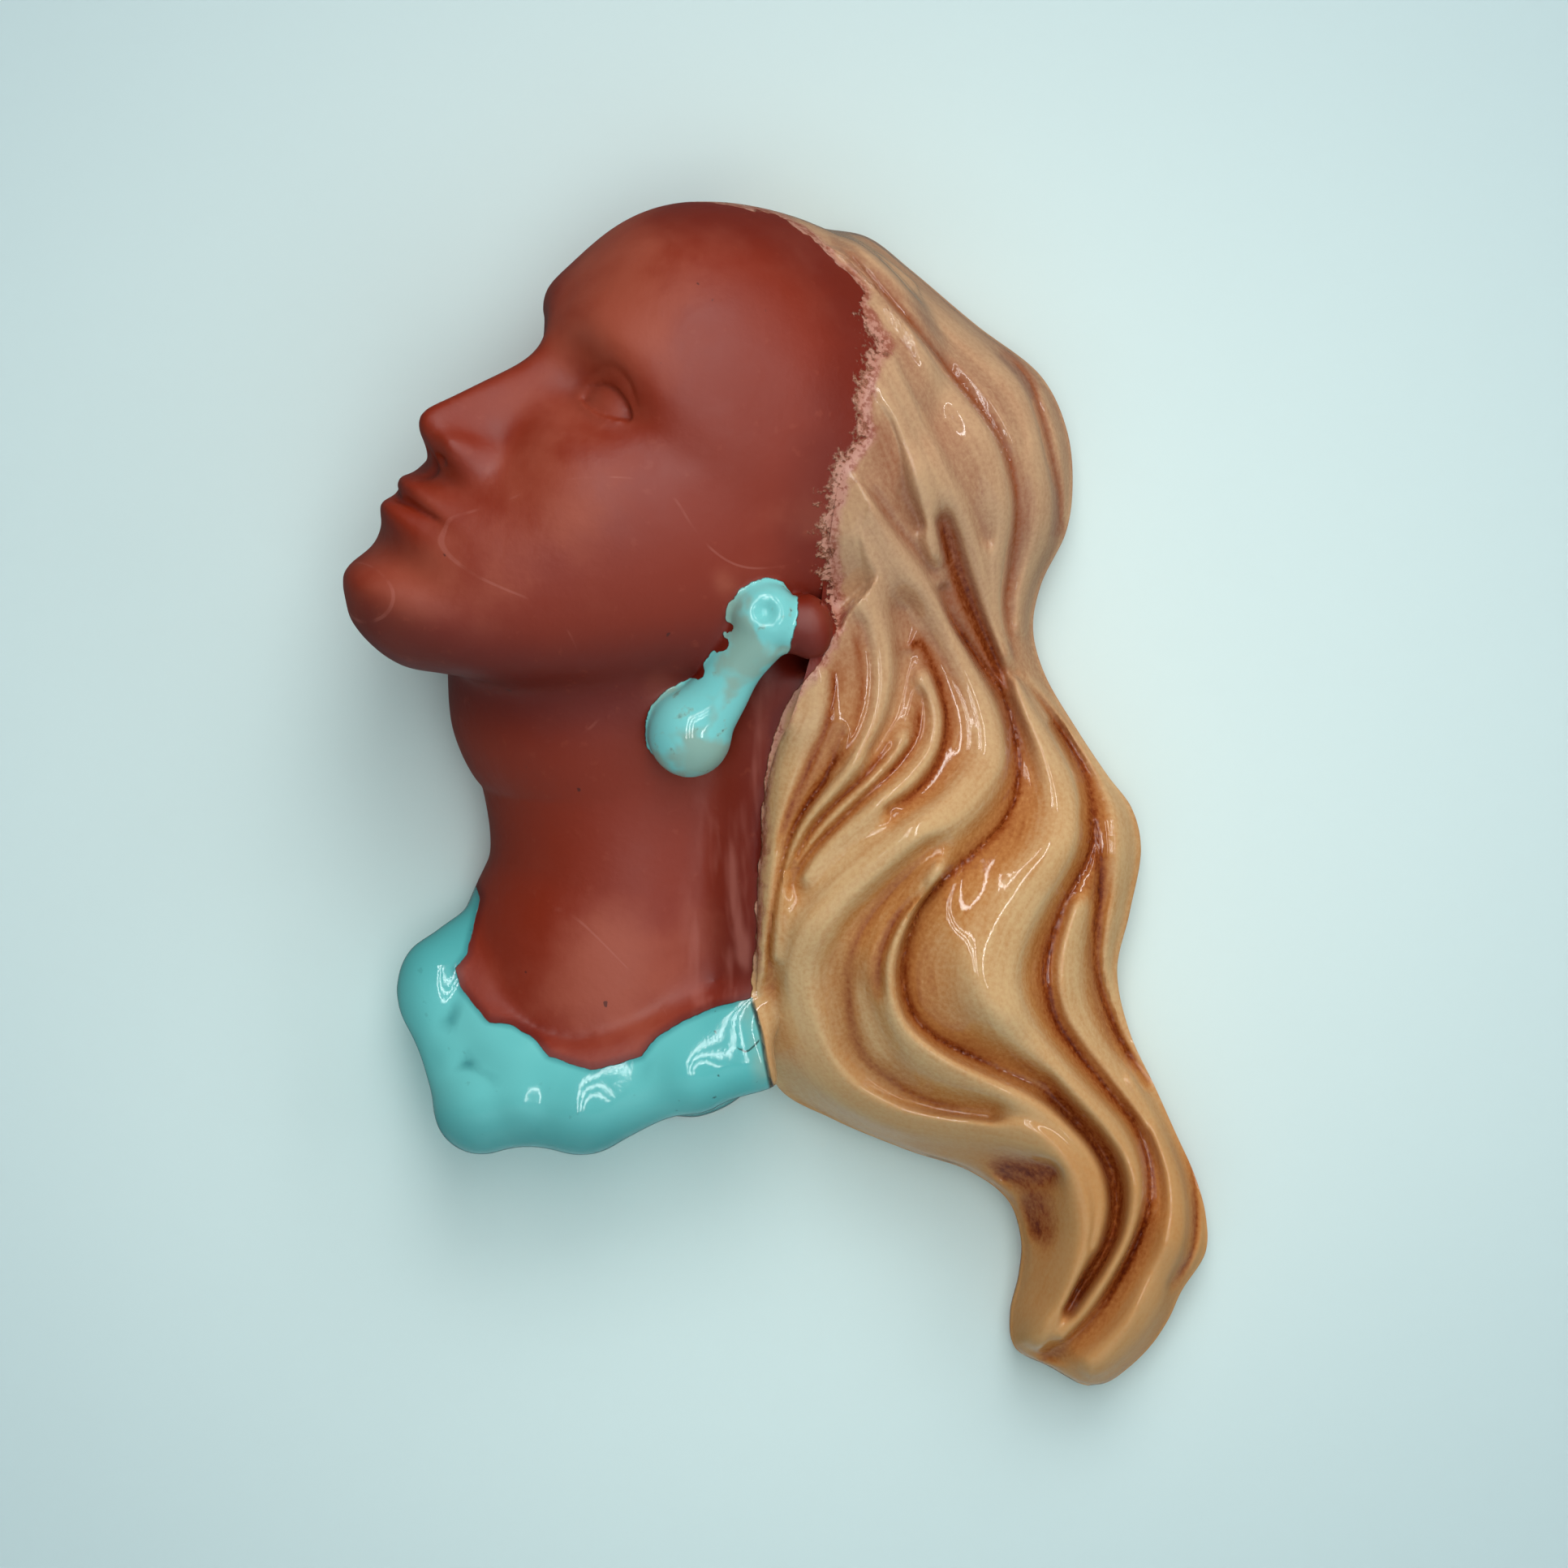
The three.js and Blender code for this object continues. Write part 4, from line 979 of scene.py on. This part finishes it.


# Slip-cast earthenware, fired bare and then brushed with two glazes. The clay stays satin and shows each
# rubbed or wiped place, with painted shade in its hollows and painted sheen on its broad faces. The glazes
# lie thick and smooth as glass, so the windows draw sharp streaks in them, and the brown wash under the
# caramel one pools in the creases and picks out the locks.
def paintCasting(material):
    add = nodesOf(material)
    place = add("TexCoord", out="Object")
    mark = {name: add("Attribute", out="Fac", attribute_name=name) for name in markNames}
    c = {name: linear(text) for name, text in finishes.items()}
    broad, middling, fine, grain = (add("noise", place, blobs(size), 3.0, 0.55) for size in (30, 7, 1.6, 0.5))
    high = add("SeparateXYZ", place, out=2)

    # Brushed glaze edges wander, so the distances get noise before they are cut off.
    wander = add("sum", add("times", middling, 3.2), add("times", fine, 1.8), -2.5)
    hairAt = add("sum", mark["hairGlaze"], wander)
    templeOn = add("times", add("ramp", high, -0.078, -0.062), add("ramp", high, 0.004, -0.008))
    spatter = add("times", templeOn, add("times", add("sum", grain, fine, -1.0), 8.0))
    feather = add("sum", add("times", templeOn, -0.9), 1.0)
    hairOn = add("ramp", add("times", add("sum", hairAt, spatter), feather), -0.15, 0.15)
    thin = add("sum", hairAt, add("times", fine, 2.0), add("times", templeOn, -2.2), -1.0)
    thin = add("times", add("ramp", thin, 2.4, 0.2), add("ramp", high, -0.156, -0.146))
    collarOn = add("ramp", add("sum", mark["collarGlaze"], add("times", wander, 0.45)), -0.12, 0.12)
    jewelOn = add("ramp", add("sum", mark["jewelGlaze"], add("times", wander, 0.8)), -0.1, 0.1)
    collarOn = add("times", collarOn, add("ramp", mark["hairGlaze"], 0.3, -0.3))
    blueOn = add("larger", collarOn, jewelOn)
    hairOn = add("times", hairOn, add("ramp", jewelOn, 1.0, 0.0))
    thin = add("times", thin, hairOn)

    # Bare clay: warm, with painted shade in its hollows, by the hair and under the jaw, painted sheen and
    # rubbed pale patches, and wiped smears.
    chalkAndSheen = add("sum", mark["sheenAndChalk"], add("times", add("sum", broad, middling, -1.0), 1.2))
    upright = add("Mapping", named={"Vector": place, "Scale": (1.0, 1.0, 0.16)})
    smear = add("ramp", add("noise", upright, blobs(5), 3.0, 0.55), 0.5, 0.64)
    smear = add("times", smear, add("ramp", mark["hairGlaze"], -20.0, -7.0))
    below = add("times", add("ramp", high, -0.08, -0.1), add("ramp", mark["hairGlaze"], 0.0, -2.0))
    pinholes = add("ramp", add("noise", place, blobs(1.5), 1.0, 0.55), 0.79, 0.82)
    contour = add("size", add("sum", add("noise", place, blobs(60), 1.5, 0.55), -0.5))
    scratch = add("times", add("ramp", contour, 0.0014, 0.0006), add("ramp", middling, 0.46, 0.62, 0.0, 0.3))
    clay = coats(
        add, c["clay"],
        # painted sheen: broad pale patches on the forehead, cheek, chin and low neck, with rubbed chalky
        # places
        (add("ramp", chalkAndSheen, 0.1, 1.0), c["clayPaleAndSheen"]),
        # painted shade in the clay's hollows
        (add("ramp", mark["sunk"], 0.1, 1.4, 0.0, 0.7), c["clayDarkAndShade"]),
        # painted shade along the hair's edge, darkest where the neck meets the hair
        (add("ramp", mark["hairGlaze"], -15.0, -3.0, 0.0, 0.45), c["clayDarkAndShade"]),
        # painted shade under the jaw
        (add("ramp", mark["underJawShade"], 0.0, 1.0, 0.0, 0.7), c["clayDarkAndShade"]),
        (add("times", add("ramp", fine, 0.62, 0.74), 0.2), c["clayPaleAndSheen"]),
        (add("times", add("times", smear, below), 0.55), c["smear"]),
        (add("times", pinholes, 0.75), c["clayPit"]),
        (scratch, c["smear"]),
        (add("ramp", mark["collarGlaze"], -2.2, -0.2, 0.0, 0.7), c["clayDarkAndShade"]))

    # Caramel glaze over a brown wash that pools in the creases and speckles as it thins.
    across, along = add("times", mark["strandAcross"], 0.8), add("times", mark["strandAlong"], 0.05)
    combed = add("CombineXYZ", across, along, mark["strandOf"])
    streak = add("noise", combed, 1.0, 2.0, 0.5)
    run = add(
        "sum", mark["brownWash"], add("times", add("sum", grain, -0.5), 0.6),
        add("times", add("sum", middling, -0.5), 0.35), add("times", add("sum", streak, -0.5), 0.5))
    upper, lower = add("ramp", high, -0.125, -0.06), add("ramp", high, -0.16, -0.205)
    lace = add("sum", grain, add("times", add("sum", middling, fine, -1.0), 0.7))
    skin = add("blend", add("ramp", lace, 0.38, 0.62, 0.15, 0.95), c["clay"], c["thinGlaze"])
    caramel = coats(
        add, coats(add, c["caramel"], (lower, c["caramelTail"]), (upper, c["caramelTop"])),
        (add("ramp", run, -0.25, 0.6), add("blend", upper, c["caramelDeep"], c["caramelDeepTop"])),
        (add("ramp", run, 0.35, 1.1), c["brown"]),
        (add("ramp", run, 0.85, 1.3), c["brownDeep"]),
        (add("times", thin, 0.85), skin))

    # Turquoise glaze, with painted shade in its hollows and towards its bottom, deeper at its edge, with pits
    # and a crack. The earring is rubbed.
    # painted shade: the collar darker towards its bottom, where its lobes turn away from the light
    lowerShade = add("times", add("ramp", high, -0.174, -0.192), add("ramp", broad, 0.2, 0.6, 0.95, 0.6))
    smudge = add(
        "times", add("ramp", mark["hairGlaze"], -5.0, -1.0), add("ramp", middling, 0.42, 0.6, 0.1, 0.6))
    rubbed = coats(
        add, c["jewel"],
        (add("ramp", middling, 0.47, 0.6, 0.0, 0.85), c["jewelDirt"]),
        (add("times", add("ramp", fine, 0.6, 0.7), 0.5), c["jewelDirt"]))
    pits = add("times", add("ramp", fine, 0.67, 0.73), add("ramp", mark["hairGlaze"], -30.0, -6.0, 0.15, 0.9))
    cracked = add("ramp", add("size", mark["crackAcross"]), 0.3, 0.12)
    cracked = add("times", cracked, add("ramp", mark["crackNear"], 0.35, 0.5, 0.0, 0.85))
    blue = coats(
        add, c["turquoise"],
        (add("ramp", broad, 0.35, 0.65), c["turquoisePale"]),
        # painted shade in the glaze's hollows
        (add("ramp", mark["sunk"], 0.0, 0.5), c["turquoiseDeepAndShade"]),
        (add("times", add("ramp", mark["collarGlaze"], 1.6, 0.0), 0.6), c["turquoiseDeepAndShade"]),
        (lowerShade, c["turquoiseDeepAndShade"]),
        (smudge, c["jewelDirt"]),
        (jewelOn, rubbed),
        (pits, c["pitAndSeamShadow"]),
        (cracked, c["pitAndSeamShadow"]))

    # painted shadow: a dark line in the collar's glaze where it meets the hair
    seam = add("ramp", add("size", mark["hairGlaze"]), 0.8, 0.25)
    seam = add("times", seam, add("ramp", mark["collarGlaze"], 0.0, 1.5, 0.0, 0.8))
    colour = coats(add, clay, (hairOn, caramel), (blueOn, blue), (seam, c["pitAndSeamShadow"]))
    gloss = add("larger", hairOn, blueOn)
    satin = add("ramp", middling, 0.3, 0.7, 0.44, 0.56)
    rough = add("between", gloss, satin, add("between", thin, 0.07, 0.4))
    height = add(
        "sum", add("times", gloss, 0.6),
        add("times", add("times", fine, add("sum", 1.0, add("times", gloss, -0.9))), 0.12),
        add("times", grain, 0.02))
    bump = add("Bump", named={"Height": height, "Distance": 0.001, "Strength": 0.8})
    shader = add("BsdfPrincipled", named={
        "Base Color": colour, "Roughness": rough, "Normal": bump, "IOR": 1.5, "Specular IOR Level": 0.4})
    add("OutputMaterial", shader)


# The same earthenware as it left the plaster mould, unglazed: dry and matt, mottled, with pale dust.
def paintInside(material):
    add = nodesOf(material)
    place = add("TexCoord", out="Object")
    broad, fine = (add("noise", place, blobs(size), 3.0, 0.55) for size in (22, 1.2))
    colour = coats(
        add, linear("A9604A"),
        (add("ramp", broad, 0.35, 0.65), linear("93492F")),
        (add("times", add("ramp", fine, 0.55, 0.75), 0.5), linear("C48A74")))
    bump = add("Bump", named={"Height": fine, "Distance": 0.0003, "Strength": 0.6})
    shader = add("BsdfPrincipled", named={"Base Color": colour, "Roughness": 0.85, "Normal": bump})
    add("OutputMaterial", shader)


paintCasting(glazed)
paintInside(bare)
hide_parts("wall_mask")
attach(mask, "root")
print("painted")

stage = {
    "wall": "D8EAE8",
    # painted shade: the colour the wall darkens to away from its middle
    "wallEdgeShade": "B4C9CC",
    "distance": 2.1,
    "frameWidth": 0.3604,
    "lookAt": (0.0031, -0.1095),
    "world": 0.13,
}


def paintStage(material, twoSided):  # matt emulsion; one-sided, it is clear from behind
    add = nodesOf(material)
    reach = add("VectorMath", add("TexCoord", out="Object"), out=1, operation="LENGTH")
    # painted shade: the paint darkens away from the middle, a vignette
    colour = add("blend", add("ramp", reach, 0.05, 0.34), linear(stage["wall"]), linear(stage["wallEdgeShade"]))
    shader = add("BsdfPrincipled", named={"Base Color": colour, "Roughness": 0.8, "Specular IOR Level": 0.2})
    if not twoSided:
        shader = add("MixShader", add("NewGeometry", out="Backfacing"), shader, add("BsdfTransparent"))
    add("OutputMaterial", shader)


def addStage():
    upright = (90 * degree, 0, 0)
    wall = primitive(bpy.ops.mesh.primitive_plane_add, size=6, location=(0, 0.0006, -0.1), rotation=upright)
    wall.name = "wallBehind"
    wall.visible_glossy = False
    wall.visible_shadow = False  # so that the light behind reaches into the hollow
    floor = primitive(bpy.ops.mesh.primitive_plane_add, size=8, location=(0, 0, -0.8))
    floor.name = "floor"
    for piece in (wall, floor):
        material = bpy.data.materials.new(piece.name + "Paint")
        paintStage(material, piece is floor)
        piece.data.materials.append(material)


def addLight(name, place, aim, size, power):
    data = bpy.data.lights.new(name, "AREA")
    data.shape, data.size, data.size_y = "RECTANGLE", *size
    data.energy = power
    lamp = bpy.data.objects.new(name, data)
    bpy.context.collection.objects.link(lamp)
    lamp.location = place
    lamp.rotation_euler = (Vector(aim) - Vector(place)).to_track_quat("-Z", "Y").to_euler()
    return lamp


addStage()
middle = (0.003, -0.03, -0.11)
# Softboxes light the clay and the wall; the window's narrow panes show only as streaks in the glaze.
for name, place, size, power in (
        ("topSoftbox", (0.5, -1.2, 1.3), (1.6, 1.1), 11),
        ("lowFill", (-0.3, -1.5, -0.55), (1.6, 0.4), 2.6),
        ("frontSoftbox", (0.13, -1.7, 0.45), (1.0, 2.4), 20),
        ("sideSoftbox", (1.4, -1.05, 0.45), (0.6, 2.4), 7.5),
        ("behindSoftbox", (-0.1, 1.5, 0), (0.6, 0.6), 9)):
    addLight(name, place, middle, size, power).visible_glossy = False
for number, (across, near, wide) in enumerate((
        (-0.22, -1.7, 0.055), (-0.04, -1.7, 0.055), (0.16, -1.7, 0.055), (0.85, -1.45, 0.08))):
    addLight(f"pane{number}", (across, near, 0.45), middle, (wide, 2.0), 115 * wide).visible_diffuse = False

world = bpy.data.worlds.new("room")
bpy.context.scene.world = world
world.use_nodes = True
world.node_tree.nodes["Background"].inputs[0].default_value = linear("E4F0F2")
world.node_tree.nodes["Background"].inputs[1].default_value = stage["world"]
bpy.context.scene.view_settings.view_transform = "Standard"

camera = bpy.data.objects.new("camera", bpy.data.cameras.new("camera"))
bpy.context.collection.objects.link(camera)
camera.location = (stage["lookAt"][0], -stage["distance"], stage["lookAt"][1])
camera.rotation_euler = (90 * degree, 0, 0)
camera.data.sensor_width = 36
camera.data.lens = 36 * stage["distance"] / stage["frameWidth"]
camera.data.clip_start, camera.data.clip_end = 0.05, 20
bpy.context.scene.camera = camera
